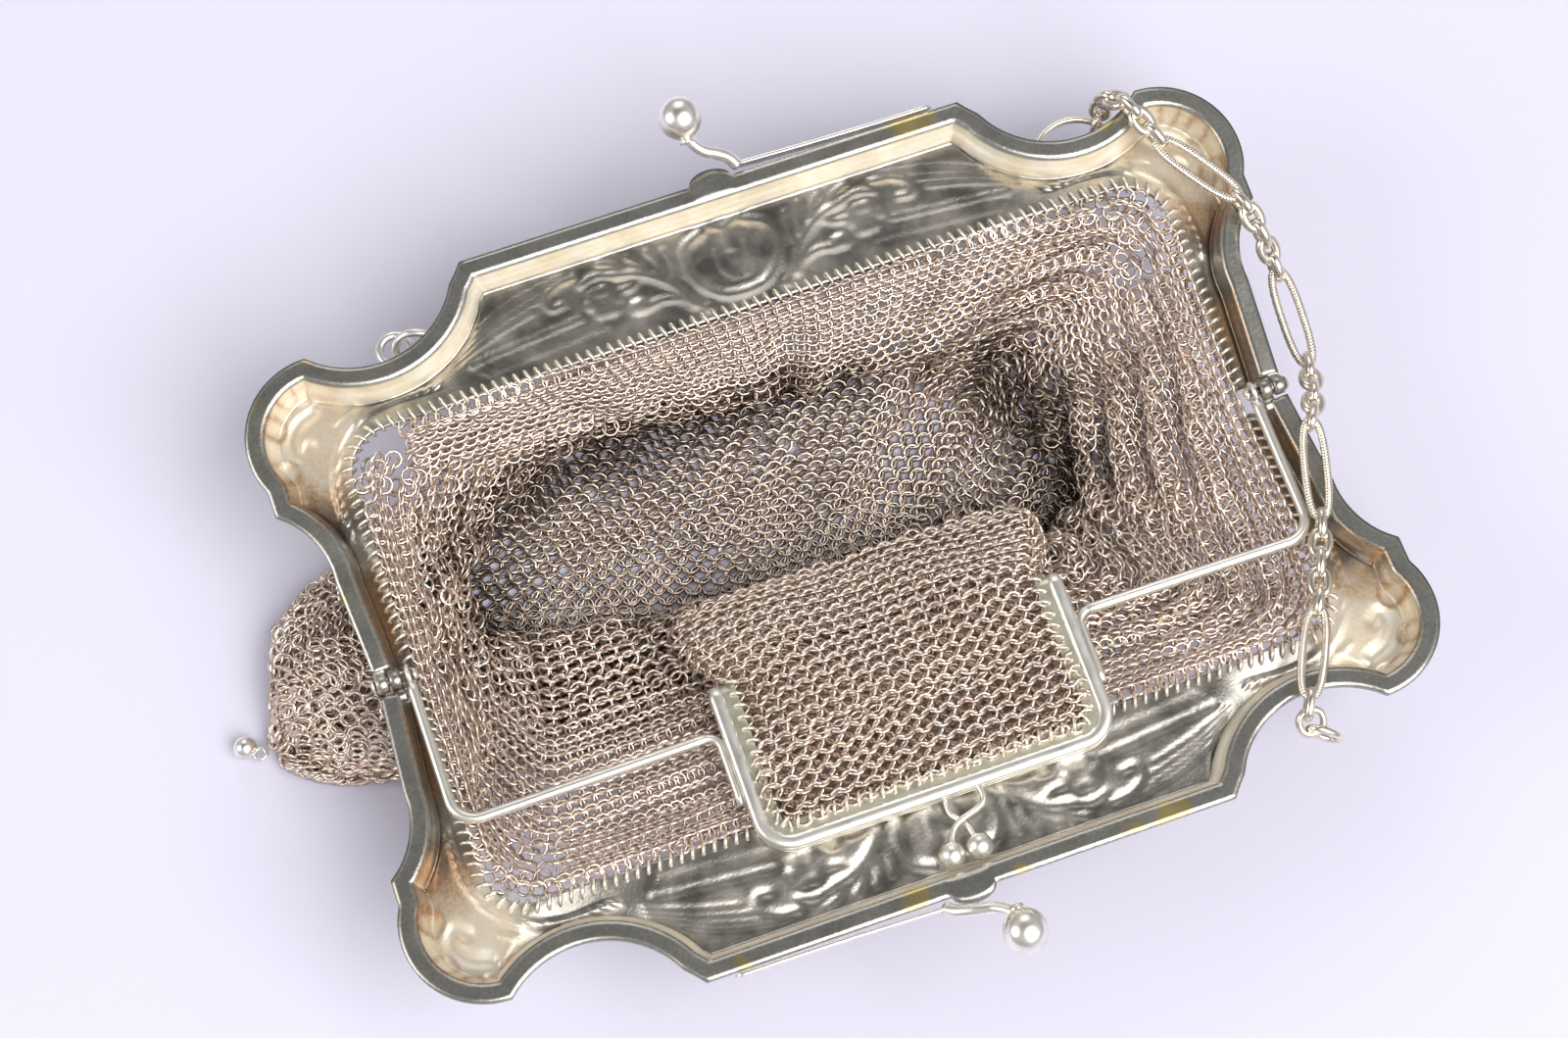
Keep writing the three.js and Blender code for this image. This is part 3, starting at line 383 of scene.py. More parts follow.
def surface_finish(name, metallic=1.0):
    """A new material, a function that adds nodes to it, its shader and its object coordinates."""
    material = bpy.data.materials.new(name)
    material.use_nodes = True
    add = partial(add_node, material.node_tree)
    shader = material.node_tree.nodes["Principled BSDF"]
    shader.inputs["Metallic"].default_value = metallic
    return material, add, shader, add("ShaderNodeTexCoord", output="Object")


def pressed_nickel_silver(look):
    """Pressed nickel silver sheet: olive grey rim, a painted cream sheen on the step wall and lobes,
    satin panel with a painted highlight on the relief, and rust-brown tarnish in the lobes and arms."""
    material, add, shader, place = surface_finish("pressed_nickel_silver")
    tree = material.node_tree
    zone = {
        name: add("ShaderNodeAttribute", output="Fac", attribute_name=name)
        for name in ("relief", "wall", "rim", "tarnish")
    }
    cloud = add("ShaderNodeTexNoise", {"Vector": place, "Scale": per_mm(SHEET_CLOUD), "Detail": 5.0})
    grain = add("ShaderNodeTexNoise", {"Vector": place, "Scale": per_mm(SHEET_GRAIN), "Detail": 4.0})
    spots = add("ShaderNodeTexNoise", {"Vector": place, "Scale": per_mm(RIM_STAIN), "Detail": 2.0})
    panel = two_tones(tree, cloud, 0.35, 0.68, look.panel_dark, look.panel_light)
    # The step wall's and the lobes' cream is a painted sheen.
    wall = two_tones(tree, cloud, 0.30, 0.75, look.wall_sheen_colour, linear("#e2d3b4"))
    rim = two_tones(tree, grain, 0.30, 0.75, look.rim_colour, linear("#b5b2aa"))
    brown = two_tones(tree, grain, 0.35, 0.70, look.tarnish_colour, linear("#c4a27c"))
    stain = add("ShaderNodeMapRange", {"Value": spots, "From Min": 0.64, "From Max": 0.7})
    golden = rgba(linear("#c2b27c"))
    stained = add("ShaderNodeMix", {0: stain, 6: rim, 7: golden}, 2, data_type="RGBA")
    patches = add("ShaderNodeMapRange", {"Value": cloud, "From Min": 0.25, "From Max": 0.6})
    patchy = add("ShaderNodeMath", {0: zone["tarnish"], 1: patches}, operation="MULTIPLY")
    colour = panel
    # The relief is painted lighter than the panel, a painted highlight, and the step wall and lobes take a
    # painted cream sheen.
    layers = [
        (zone["relief"], rgba(look.relief_highlight_colour)), (zone["wall"], wall), (zone["rim"], stained),
        (patchy, brown),
    ]
    for share, over in layers:
        colour = add("ShaderNodeMix", {0: share, 6: colour, 7: over}, 2, data_type="RGBA")
    satin = add("ShaderNodeMapRange", {"Value": cloud, "To Min": 0.24, "To Max": 0.4})
    # Where the painted sheen lies, the sheet is also rougher and less metallic.
    fill(tree, shader, {
        "Base Color": colour,
        "Roughness": add("ShaderNodeMath", {0: zone["wall"], 1: 0.16, 2: satin}, operation="MULTIPLY_ADD"),
        "Metallic": add("ShaderNodeMath", {0: zone["wall"], 1: -0.45, 2: 1.0}, operation="MULTIPLY_ADD"),
        "Normal": add("ShaderNodeBump", {"Height": grain, "Distance": 0.05 * MM, "Strength": 0.6}),
    })
    return material


def polished_nickel(name, colour, roughness=0.24):
    """Polished nickel, bright and smooth, with soft smudges and a faint cloudy tone."""
    material, add, shader, place = surface_finish(name)
    tree = material.node_tree
    cloud = add("ShaderNodeTexNoise", {"Vector": place, "Scale": per_mm(POLISH_SMUDGE), "Detail": 4.0})
    grain = add("ShaderNodeTexNoise", {"Vector": place, "Scale": per_mm(POLISH_GRAIN), "Detail": 3.0})
    clouded = tuple(0.78 * part for part in colour)
    fill(tree, shader, {
        "Base Color": two_tones(tree, cloud, 0.35, 0.7, colour, clouded),
        "Roughness": add("ShaderNodeMapRange", {
            "Value": cloud, "To Min": roughness * 0.7, "To Max": roughness * 1.8,
        }),
        "Normal": add("ShaderNodeBump", {"Height": grain, "Distance": 0.02 * MM, "Strength": 0.4}),
    })
    return material


def ring_wire(look):
    """Silvered ring wire: each ring has its own tone, which in the sack carries painted shade, and the wire
    is faintly drawn and tarnished.
    """
    material, add, shader, place = surface_finish("silvered_ring_wire")
    tone = add("ShaderNodeAttribute", output="Fac", attribute_name="tone")
    speck = add("ShaderNodeTexNoise", {"Vector": place, "Scale": per_mm(WIRE_SPECK), "Detail": 2.0})
    grain = add("ShaderNodeTexNoise", {"Vector": place, "Scale": per_mm(WIRE_GRAIN), "Detail": 2.0})
    dulled = add("ShaderNodeMapRange", {"Value": speck, "From Min": 0.45, "From Max": 0.85})
    colour = rgba(look.ring_dark)
    for share, over in ((tone, look.ring_light), (dulled, look.ring_tarnish)):
        colour = add("ShaderNodeMix", {0: share, 6: colour, 7: rgba(over)}, 2, data_type="RGBA")
    fill(material.node_tree, shader, {
        "Base Color": colour,
        "Roughness": 0.34,
        "Normal": add("ShaderNodeBump", {"Height": grain, "Distance": 0.01 * MM, "Strength": 0.3}),
    })
    return material


# Pressed frame halves

# The quarter outline from the hinge to the middle of the long edge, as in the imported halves.
OUTLINE = [
    {"x": 0.890, "y": 0.032, "bulge": 0, "steps": 1, "mouth": 0.0175, "run": 0.28},
    {"x": 0.902, "y": 0.290, "bulge": 0, "steps": 2, "mouth": 0.136, "run": 0.28},
    {"x": 0.970, "y": 0.499, "bulge": -0.030, "steps": 6, "mouth": 0.229, "run": 0.40},
    {"x": 0.970, "y": 0.567, "bulge": 0, "steps": 1, "mouth": 0.253, "run": 0.55},
    {"x": 0.830, "y": 0.879, "bulge": 0.102, "steps": 12, "mouth": 0.397, "run": 0.62},
    {"x": 0.530, "y": 0.951, "bulge": -0.107, "steps": 12, "mouth": 0.552, "run": 0.62},
    {"x": 0.515, "y": 0.973, "bulge": 0, "steps": 1, "mouth": 0.570, "run": 0.62},
    {"x": 0.499, "y": 1.000, "bulge": 0, "steps": 1, "mouth": 0.589, "run": 0.62},
    {"x": 0.250, "y": 1.000, "bulge": 0, "steps": 1, "mouth": 0.780, "run": 0.62},
]
TAB_STEPS = 8


def mouth_point(share):
    """A point of the rounded rectangle of the mouth, at a share of its quarter's length."""
    upright = MOUTH_HALF_DEPTH - MOUTH_CORNER_RADIUS
    level = MOUTH_HALF_WIDTH - MOUTH_CORNER_RADIUS
    turn = np.pi / 2 * MOUTH_CORNER_RADIUS
    travelled = np.asarray(share, float) * (upright + turn + level)
    angle = np.clip((travelled - upright) / MOUTH_CORNER_RADIUS, 0, np.pi / 2)
    x = level + MOUTH_CORNER_RADIUS * np.cos(angle) - np.maximum(travelled - upright - turn, 0)
    y = np.minimum(travelled, upright) + MOUTH_CORNER_RADIUS * np.sin(angle)
    return np.stack([x, y], -1)


def arc_between(start, end, bulge, steps):
    """The arc from start to end that leans away from the chord by bulge."""
    chord = end - start
    reach = np.linalg.norm(chord) / 2
    away = unit(np.array([chord[1], -chord[0]]))
    opening = 2 * np.arctan(abs(bulge) / reach)
    angle = opening * (2 * np.arange(1, steps + 1) / steps - 1)
    radius = reach / np.sin(opening)
    across = radius * np.sin(angle)
    rise = radius * (np.cos(angle) - np.cos(opening)) * np.sign(bulge)
    return (start + end) / 2 + across[:, None] * unit(chord) + rise[:, None] * away


def half_stations():
    """Stations of a whole half from its right to its left end: outer point, edge point, mouth
    point, wall run, and whether the station is a corner of the outline."""
    place = [np.array([row["x"] * FRAME_HALF_WIDTH, row["y"] * FRAME_HALF_DEPTH]) for row in OUTLINE]
    outer = [place[0][None]]
    share = [[OUTLINE[0]["mouth"]]]
    run = [[OUTLINE[0]["run"]]]
    corner = [[True]]
    for k, row in enumerate(OUTLINE[1:], 1):
        before, steps = OUTLINE[k - 1], row["steps"]
        part = np.arange(1, steps + 1) / steps
        straight = place[k - 1] + part[:, None] * (place[k] - place[k - 1])
        bulge = row["bulge"] * FRAME_HALF_DEPTH
        outer.append(arc_between(place[k - 1], place[k], bulge, steps) if bulge else straight)
        share.append(before["mouth"] + part * (row["mouth"] - before["mouth"]))
        run.append(before["run"] + part * (row["run"] - before["run"]))
        corner.append(part == 1)
    angle = np.pi / 2 * np.arange(TAB_STEPS + 1) / TAB_STEPS
    tab_x = TAB_HALF_WIDTH * np.cos(angle)
    tab_outer = np.stack([tab_x, FRAME_HALF_DEPTH + TAB_HEIGHT * np.sin(angle)], 1)
    tab_edge = np.stack([tab_x, np.full(len(tab_x), float(FRAME_HALF_DEPTH))], 1)
    tab_mouth = np.stack([tab_x, np.full(len(tab_x), float(MOUTH_HALF_DEPTH))], 1)
    edge = np.vstack(outer)
    mouth = mouth_point(np.concatenate(share))
    quarter = {
        "outer": np.vstack([edge, tab_outer]),
        "edge": np.vstack([edge, tab_edge]),
        "mouth": np.vstack([mouth, tab_mouth]),
        "run": np.concatenate(run + [np.full(len(tab_x), OUTLINE[-1]["run"])]) * RIM_WIDTH,
        "corner": np.concatenate(corner + [angle == 0]),
    }
    flip = np.array([-1.0, 1.0])
    whole = {}
    for name, column in quarter.items():
        other = column[:-1][::-1]
        whole[name] = np.concatenate([column, other * flip if column.ndim == 2 else other])
    return whole


def control_lines(stations):
    """The ten lines of the folded sheet's profile at every station, as (x, outward, depth)."""
    edge = stations["edge"]
    before, after = np.vstack([edge[:1], edge[:-1]]), np.vstack([edge[1:], edge[-1:]])
    coming, going = unit(edge - before), unit(after - edge)
    along = unit(coming + going)
    inward = np.stack([-along[:, 1], along[:, 0]], 1)
    bend = np.sum(coming * going, 1)
    bend[[0, -1]] = 1
    mitre = (1 / np.sqrt((1 + bend) / 2))[:, None]
    run = stations["run"][:, None]
    foot = edge + inward * (RIM_WIDTH + run) * mitre
    under_foot = edge + inward * (RIM_WIDTH + run - SHEET) * mitre
    middle = (foot + stations["mouth"]) / 2
    middle_depth = (PANEL_DEPTH + MOUTH_EDGE_DEPTH) / 2
    lines = [
        (stations["outer"], 0), (edge + inward * RIM_WIDTH * mitre, 0), (foot, PANEL_DEPTH),
        (middle, middle_depth), (stations["mouth"], MOUTH_EDGE_DEPTH),
        (stations["mouth"], MOUTH_EDGE_DEPTH + SHEET), (middle, middle_depth + SHEET),
        (under_foot, PANEL_DEPTH + SHEET), (edge + inward * (RIM_WIDTH - SHEET) * mitre, SHEET),
        (stations["outer"], SHEET),
    ]
    return np.stack([
        np.column_stack([spot, np.full(len(spot), float(depth))]) for spot, depth in lines
    ], 1)


def finer_stations(lines, corner, step):
    """Rounds the control lines between corners with Catmull-Rom and samples them about every step."""
    pieces = []
    corners = np.flatnonzero(corner)
    for first, last in zip(corners[:-1], corners[1:]):
        part = lines[first:last + 1]
        padded = np.concatenate([2 * part[:1] - part[1:2], part, 2 * part[-1:] - part[-2:-1]])
        length = np.linalg.norm(np.diff(part[:, 0], axis=0), axis=1).sum()
        place = np.linspace(0, len(part) - 1, max(int(np.ceil(length / step)), 2) + 1)[:-1]
        k = np.minimum(place.astype(int), len(part) - 2)
        t = (place - k)[:, None, None]
        p0, p1, p2, p3 = padded[k], padded[k + 1], padded[k + 2], padded[k + 3]
        pieces.append(eased(p1, p2 - p1, (p2 - p0) / 2, (p3 - p1) / 2, t))
    return np.concatenate(pieces + [lines[-1:]])


# Steps across each strip of the profile, from the outer edge round to the outer edge again.
STRIP_STEPS = {
    "rim": 4, "wall": 8, "panel_out": 19, "panel_in": 17, "edge": 2,
    "under_in": 2, "under_out": 2, "under_wall": 3, "under_rim": 1, "outer": 2,
}
UPPER_STRIPS = ["wall", "panel_out", "panel_in"]
RIM_STRIPS = ["rim", "outer", "under_rim"]
# How far the step wall's profile rolls from a straight line, as a share of its height.
WALL_ROLL = 0.10
# The relief starts, at half its depth, at this share of the way down the step wall, and fades out
# from this share of the inner panel strip to the mouth.
RELIEF_ON_WALL = 0.6
RELIEF_FADE = 0.82
# Step between the stations along the edge, in mm.
STATION_STEP = 0.65

# Ornament of the pressed sheet, for one quarter, in x and outward millimetres. Each stroke is a
# soft groove along a curve through its points, pressed in by its depth. A negative depth stands
# proud. Each bead is a round bowl.
STROKES = [
    {"of": "shield", "points": [(0, 41.6), (3.4, 42.2), (6.2, 44.6), (7.6, 48.2), (6.6, 51.6), (3.6, 53.2)],
     "width": 1.3, "depth": 0.75},
    {"of": "shield curl", "points": [(3.6, 53.2), (1.8, 53.6), (0, 52.6)], "width": 1.0, "depth": 0.5},
    {"of": "shield foot", "points": [(0.8, 44.4), (2.2, 46.4), (2.4, 49.4)], "width": 0.9, "depth": 0.4},
    {"of": "shield crown", "points": [(0, 52.2), (0, 49.4)], "width": 1.1, "depth": 0.5},
    {"of": "stem", "points": [(8.4, 42.2), (9.6, 44.9), (11.8, 47.6), (15.0, 49.8), (19.2, 51.0)],
     "width": 1.3, "depth": 0.8},
    {"of": "stem fork", "points": [(8.4, 42.2), (10.4, 43.8), (13.2, 44.5), (15.4, 44.0)],
     "width": 1.1, "depth": 0.6},
    {"of": "leaf", "points": [(10.1, 46.0), (9.3, 49.2), (10.0, 52.2)], "width": 1.0, "depth": 0.6},
    {"of": "leaf", "points": [(11.8, 47.8), (11.5, 50.4), (12.6, 53.0)], "width": 1.0, "depth": 0.6},
    {"of": "leaf", "points": [(13.8, 49.2), (14.2, 51.2), (15.8, 53.2)], "width": 1.0, "depth": 0.6},
    {"of": "leaf", "points": [(15.0, 49.6), (16.6, 48.2), (18.6, 48.0)], "width": 1.0, "depth": 0.55},
    {"of": "leaf", "points": [(17.2, 50.6), (18.2, 52.4), (20.4, 53.4)], "width": 1.0, "depth": 0.55},
    {"of": "leaf", "points": [(19.2, 51.0), (21.6, 51.6), (24.0, 51.0)], "width": 1.1, "depth": 0.6},
    {"of": "scroll", "points": [(24.6, 52.6), (27.8, 52.2), (30.2, 50.4), (29.6, 48.6), (27.8, 48.8)],
     "width": 1.0, "depth": 0.6},
    {"of": "reed", "points": [(26.0, 53.6), (36.0, 51.6), (46.0, 47.0)], "width": 0.6, "depth": 0.35},
    {"of": "reed", "points": [(30.0, 52.2), (38.0, 49.9), (46.0, 46.2)], "width": 0.6, "depth": 0.35},
    {"of": "reed", "points": [(31.6, 50.6), (39.0, 48.5), (46.0, 45.5)], "width": 0.6, "depth": 0.35},
    {"of": "reed", "points": [(32.6, 49.0), (39.6, 47.2), (46.0, 44.8)], "width": 0.6, "depth": 0.35},
    {"of": "corner ridge", "points": [(70.0, 24.0), (69.6, 33.0), (66.0, 39.6), (59.5, 42.4), (50.0, 42.6)],
     "width": 0.9, "depth": -0.45},
    {"of": "second ridge", "points": [(54.0, 45.6), (60.5, 45.0), (67.0, 41.8)], "width": 0.7, "depth": -0.3},
    {"of": "comma", "points": [(69.6, 44.6), (72.4, 43.4), (74.2, 40.8), (73.4, 38.6), (71.8, 39.6)],
     "width": 1.5, "depth": 0.9},
    {"of": "lobe flute", "points": [(66.0, 47.8), (68.4, 45.8)], "width": 1.2, "depth": 0.7},
    {"of": "lobe flute", "points": [(68.8, 49.4), (70.4, 47.4)], "width": 1.2, "depth": 0.7},
    {"of": "arm groove", "points": [(70.4, 6.0), (70.9, 16.0), (72.6, 24.0), (74.6, 31.0)],
     "width": 1.1, "depth": 0.4},
]
BEADS = [
    {"of": "crown bead", "at": (2.6, 54.2), "radius": 0.9, "depth": 0.5},
    {"of": "spray bead", "at": (16.6, 44.6), "radius": 1.3, "depth": 0.85},
    {"of": "spray bead", "at": (6.4, 41.0), "radius": 0.9, "depth": 0.5},
    {"of": "notch boss", "at": (47.6, 49.8), "radius": 1.2, "depth": 0.7},
    {"of": "notch boss", "at": (51.4, 47.4), "radius": 1.2, "depth": 0.7},
    {"of": "notch boss", "at": (60.6, 47.6), "radius": 1.2, "depth": 0.7},
    {"of": "lobe bead", "at": (76.2, 36.6), "radius": 1.5, "depth": 0.9},
    {"of": "lobe bead", "at": (76.0, 43.6), "radius": 1.3, "depth": 0.8},
    {"of": "lobe bead", "at": (72.8, 47.6), "radius": 1.2, "depth": 0.8},
]
FLOWER = {"centre": (21.6, 47.2), "petals": 6, "reach": 1.9, "radius": 1.15, "depth": 0.65}
FLOWER_HEART = {"of": "flower heart", "at": FLOWER["centre"], "radius": 0.9, "depth": 0.4}
BEAD_ROW = {"start": (26.0, 45.6), "end": (44.0, 43.9), "count": 14, "radius": 0.75, "depth": 0.4}
FEATHERS = {"start": (22.0, 43.0), "end": (42.0, 41.4), "count": 17, "lean": 1.2, "width": 0.55, "depth": 0.3}
# A proud ridge is a twisted rope: the pitch of its strands in mm, and the share of its height that
# waves.
ROPE_PITCH = 1.6
ROPE_WAVE = 0.35
# How far a stroke's and a bead's bowl reach, in widths and in radii.
STROKE_REACH = 1.2
BEAD_REACH = 1.25
# Share of the pressed depths above that is used.
RELIEF_SCALE = 0.5


def spots_of(row):
    """Even places on the straight line of a row of the ornament."""
    share = np.linspace(0, 1, row["count"])[:, None]
    return np.array(row["start"]) + share * (np.array(row["end"]) - row["start"])


def all_strokes():
    """The strokes with the worked-out ones: a row of small slanting feathers under the bead row."""
    size = {"width": FEATHERS["width"], "depth": FEATHERS["depth"]}
    lean = np.array([FEATHERS["lean"], FEATHERS["lean"]])
    return STROKES + [{"points": [foot, foot + lean], **size} for foot in spots_of(FEATHERS)]


def all_beads():
    """The beads with the worked-out ones: a flower's petals on a circle and a straight row."""
    angle = np.arange(FLOWER["petals"]) * TURN / FLOWER["petals"]
    petals = np.array(FLOWER["centre"]) + FLOWER["reach"] * np.stack([np.cos(angle), np.sin(angle)], 1)
    return BEADS + [FLOWER_HEART] + [
        {"at": spot, "radius": row["radius"], "depth": row["depth"]}
        for row, spots in ((FLOWER, petals), (BEAD_ROW, spots_of(BEAD_ROW))) for spot in spots
    ]


def relief_at(x, outward_place):
    """Depth pressed into the sheet: the deepest of the strokes' and beads' soft bowls, less the
    proudest ridge. A bowl falls off as a smooth step of the distance from its line or centre."""
    spots = np.stack([np.abs(x), outward_place], -1).reshape(-1, 2)
    pressed = np.zeros(len(spots))
    proud = np.zeros(len(spots))
    for stroke in all_strokes():
        points = np.array(stroke["points"], float)
        low, high = points.min(0) - stroke["width"], points.max(0) + stroke["width"]
        near = np.all((spots > low) & (spots < high), 1)
        there = spots[near]
        if not len(there):
            continue
        if len(points) > 2:
            points = curve_through(np.column_stack([points, np.zeros(len(points))]), 8)[:, :2]
        start, run = points[:-1][None], np.diff(points, axis=0)[None]
        share = np.clip(np.sum((there[:, None] - start) * run, -1) / np.sum(run * run, -1), 0, 1)
        away = np.linalg.norm(there[:, None] - start - share[..., None] * run, axis=-1).min(1)
        bowl = 1 - smooth_step(0, STROKE_REACH * stroke["width"], away)
        if stroke["depth"] < 0:
            twist = 1 - ROPE_WAVE + ROPE_WAVE * np.cos(TURN * (there[:, 0] + there[:, 1]) / ROPE_PITCH)
            proud[near] = np.maximum(proud[near], -stroke["depth"] * bowl * twist)
        else:
            pressed[near] = np.maximum(pressed[near], stroke["depth"] * bowl)
    for bead in all_beads():
        away = np.linalg.norm(spots - np.array(bead["at"]), axis=1)
        bowl = np.sqrt(np.clip(1 - (away / (BEAD_REACH * bead["radius"])) ** 2, 0, 1))
        pressed = np.maximum(pressed, bead["depth"] * bowl)
    return (RELIEF_SCALE * pressed - proud).reshape(x.shape)


def sheet_values(x, out, pressed, zone, share):
    """How much each place of a half shows the relief's painted highlight, the painted cream sheen of the
    step wall and lobes, rim and tarnish, by soft steps of its place. The tarnish lies in rings round
    the lobes' beads and in waves along the arms."""
    far = np.abs(x)
    lobe = smooth_step(60, 66, far) * smooth_step(28, 34, out)
    arm = smooth_step(66, 69, far) * (1 - smooth_step(30, 40, out))
    ring = np.zeros_like(x)
    for bead in BEADS:
        if bead["of"] == "lobe bead":
            away = np.hypot(far - bead["at"][0], out - bead["at"][1]) / bead["radius"]
            ring = np.maximum(ring, np.exp(-((away - 1.2) / 0.35) ** 2))
    upper = np.isin(zone, UPPER_STRIPS)[None]
    waves = smooth_step(0.2, 0.7, np.abs(np.sin(out / 7.0)))
    tarnish = np.clip((0.22 * lobe + 0.7 * arm * waves + 0.7 * ring) * upper, 0, 1)
    first_of_wall = (zone == "wall") & (share == 0)
    wall = np.where((zone == "wall") & ~first_of_wall, 1.0, 0.0)[None] * (1 - 0.8 * arm)
    on_rim = np.isin(zone, RIM_STRIPS) | first_of_wall
    return {
        "relief": np.clip(np.abs(pressed) / 0.9, 0, 0.4),
        "wall": np.maximum(wall, 0.75 * lobe * upper * ~first_of_wall),
        "rim": np.broadcast_to(on_rim.astype(float)[None], x.shape),
        "tarnish": tarnish,
    }


def half_mesh(side):
    """One pressed half: control lines made finer along the edge, split into strips across, with the
    relief pressed into its upper face. Returns the shape and its values."""
    stations = half_stations()
    lines = finer_stations(control_lines(stations), stations["corner"], STATION_STEP)
    lines = np.concatenate([lines, lines[:, :1]], 1)
    columns, zone, share = [], [], []
    for k, (name, steps) in enumerate(STRIP_STEPS.items()):
        for t in np.arange(steps) / steps:
            spot = lines[:, k] + t * (lines[:, k + 1] - lines[:, k])
            if name == "wall":
                roll = t + WALL_ROLL * np.sin(TURN * t)
                spot[:, 2] = lines[:, k, 2] + roll * (lines[:, k + 1, 2] - lines[:, k, 2])
            columns.append(spot)
            zone.append(name)
            share.append(t)
    x, out, depth = np.moveaxis(np.stack(columns, 1), -1, 0)
    zone, share = np.array(zone), np.array(share)
    on_panel = np.isin(zone, ["panel_out", "panel_in"]).astype(float)
    on_panel[(zone == "wall") & (share > RELIEF_ON_WALL)] = 0.5
    inner = zone == "panel_in"
    on_panel[inner] *= 1 - smooth_step(RELIEF_FADE, 1.0, share[inner])
    pressed = relief_at(x, out) * on_panel[None]
    shape = grid(np.moveaxis(on_half(side, x, out, depth + pressed), 0, -1))
    values = sheet_values(x, out, pressed, zone, share)
    return shape, {name: np.append(column.ravel(), [0, 0]) for name, column in values.items()}


# Knuckles, pins and lugs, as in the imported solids
KNUCKLE_RADIUS = 1.5
KNUCKLE_LENGTH = 1.8
KNUCKLE_SOFTNESS = 0.25
KNUCKLE_INNER_X = 0.89 * FRAME_HALF_WIDTH - 2 * KNUCKLE_LENGTH - CLEARANCE
OUTER_KNUCKLE_X = KNUCKLE_INNER_X + KNUCKLE_LENGTH + CLEARANCE
PIN_RADIUS = 0.65
PIN_HEAD_RADIUS = 1.05
PIN_HEAD_LENGTH = 0.8
TONGUE_REACH = 3.4
LUG_RADIUS = 1.7
LUG_WIRE = 0.5


def on_half(side, x, out, depth):
    """A place on a half from x, outward distance and depth below the rim."""
    return np.array([
        x, side * (out * math.cos(HALF_RAISE) + depth * math.sin(HALF_RAISE)),
        HINGE_HEIGHT + out * math.sin(HALF_RAISE) - depth * math.cos(HALF_RAISE),
    ])


def turned(profile, sides=24, closed=False):
    """Turns a profile of (radius, x) points round the hinge line."""
    radius, x = np.array(profile, float).T[..., None]
    angle = np.arange(sides) * TURN / sides
    loops = np.stack(np.broadcast_arrays(
        x, radius * np.cos(angle), HINGE_HEIGHT + radius * np.sin(angle),
    ), -1)
    return grid(loops, closed_rows=closed)


def knuckle(side, end, inner_x):
    """A rolled knuckle with softened ends, bored for its pin, on its short tongue."""
    bore = PIN_RADIUS + CLEARANCE
    low, high = inner_x, inner_x + KNUCKLE_LENGTH
    shoulder = KNUCKLE_RADIUS - KNUCKLE_SOFTNESS
    profile = [
        (bore, low), (shoulder, low), (KNUCKLE_RADIUS, low + KNUCKLE_SOFTNESS),
        (KNUCKLE_RADIUS, high - KNUCKLE_SOFTNESS), (shoulder, high), (bore, high),
    ]
    barrel = turned([(radius, end * x) for radius, x in profile], 28, closed=True)
    middle, height = end * (low + high) / 2, HINGE_HEIGHT - SHEET / 2
    path = np.array([(middle, side * reach, height) for reach in (KNUCKLE_RADIUS * 0.9, TONGUE_REACH)])
    return join(barrel, sweep(path, rounded_box(KNUCKLE_LENGTH, SHEET, 6)))


# Carrying ring and jump rings
RING_RADIUS = 7
RING_WIRE = 0.6
RING_REACH = MOUTH_HALF_DEPTH + RING_RADIUS + RING_WIRE - CLEARANCE / 2
RING_CENTRE = on_half(1, 0.70 * FRAME_HALF_WIDTH, RING_REACH, 7)
RING_LUG_ANGLE = math.radians(225)
JUMP_RING_RADIUS = 2.5
INNER_JUMP_RADIUS = 3.35
JUMP_WIRE = 0.65
JUMP_END = on_half(1, -0.587 * FRAME_HALF_WIDTH, 0.81 * FRAME_HALF_DEPTH, PANEL_DEPTH)
JUMP_LINE = unit(np.array([-0.94, 0.34, 0.0]))
JUMP_TILT = math.radians(35)


def jump_axes():
    """Normal of the inner jump ring and of its lug, tilted about the ring's line."""
    across = np.array([-JUMP_LINE[1], JUMP_LINE[0], 0])
    normal = across * math.cos(JUMP_TILT) + UP * math.sin(JUMP_TILT)
    rise = -across * math.sin(JUMP_TILT) + UP * math.cos(JUMP_TILT)
    return normal, rise


def back_lugs():
    """The two soldered lug rings below the back half."""
    towards = np.array([math.cos(RING_LUG_ANGLE), math.sin(RING_LUG_ANGLE), 0])
    ring_place = RING_CENTRE + RING_RADIUS * towards
    lug = wire_ring(LUG_RADIUS, LUG_WIRE, 28, 10)
    return join(
        placed(lug, ring_place + np.array([0, 0, LUG_WIRE / 2]), UP, (1, -1, 0)),
        placed(lug, JUMP_END, JUMP_LINE, jump_axes()[1]),
    )


# Fittings

# A clasp's stalk from the strip to the ball, as shares of the way in x, y and z.
STALK = [(0.00, 0.00, 0.00), (0.15, 0.14, 0.20), (0.40, 0.24, 0.38), (0.70, 0.34, 0.52),
         (0.95, 0.58, 0.74), (1.00, 0.80, 0.90), (1.00, 1.00, 1.00)]
# Where the clasps' stalks and balls stand in x.
CLASPS = {
    "back_clasp": {"side": 1, "foot": 4.9, "ball": -1.7},
    "front_clasp": {"side": -1, "foot": -4.9, "ball": 4.1},
}
BALL_RADIUS = 3.4
BALL_REACH = 68.2
BALL_HEIGHT = 34.8
STALK_RADIUS = 0.85
STRIP_WIDTH = 1.8
STRIP_THICKNESS = 0.7
STRIP_LENGTH = 32
# Share of a spring strip that narrows to its tip.
STRIP_TIP = 0.03
# The drop's loop, how far the ball's middle lies from the loop's edge, and in which direction.
DROP_LOOP_RADIUS = 0.9
DROP_LOOP_WIRE = 0.3
DROP_LOOP_HEIGHT = 2
DROP_REACH = 2
DROP_TURN = math.radians(140)


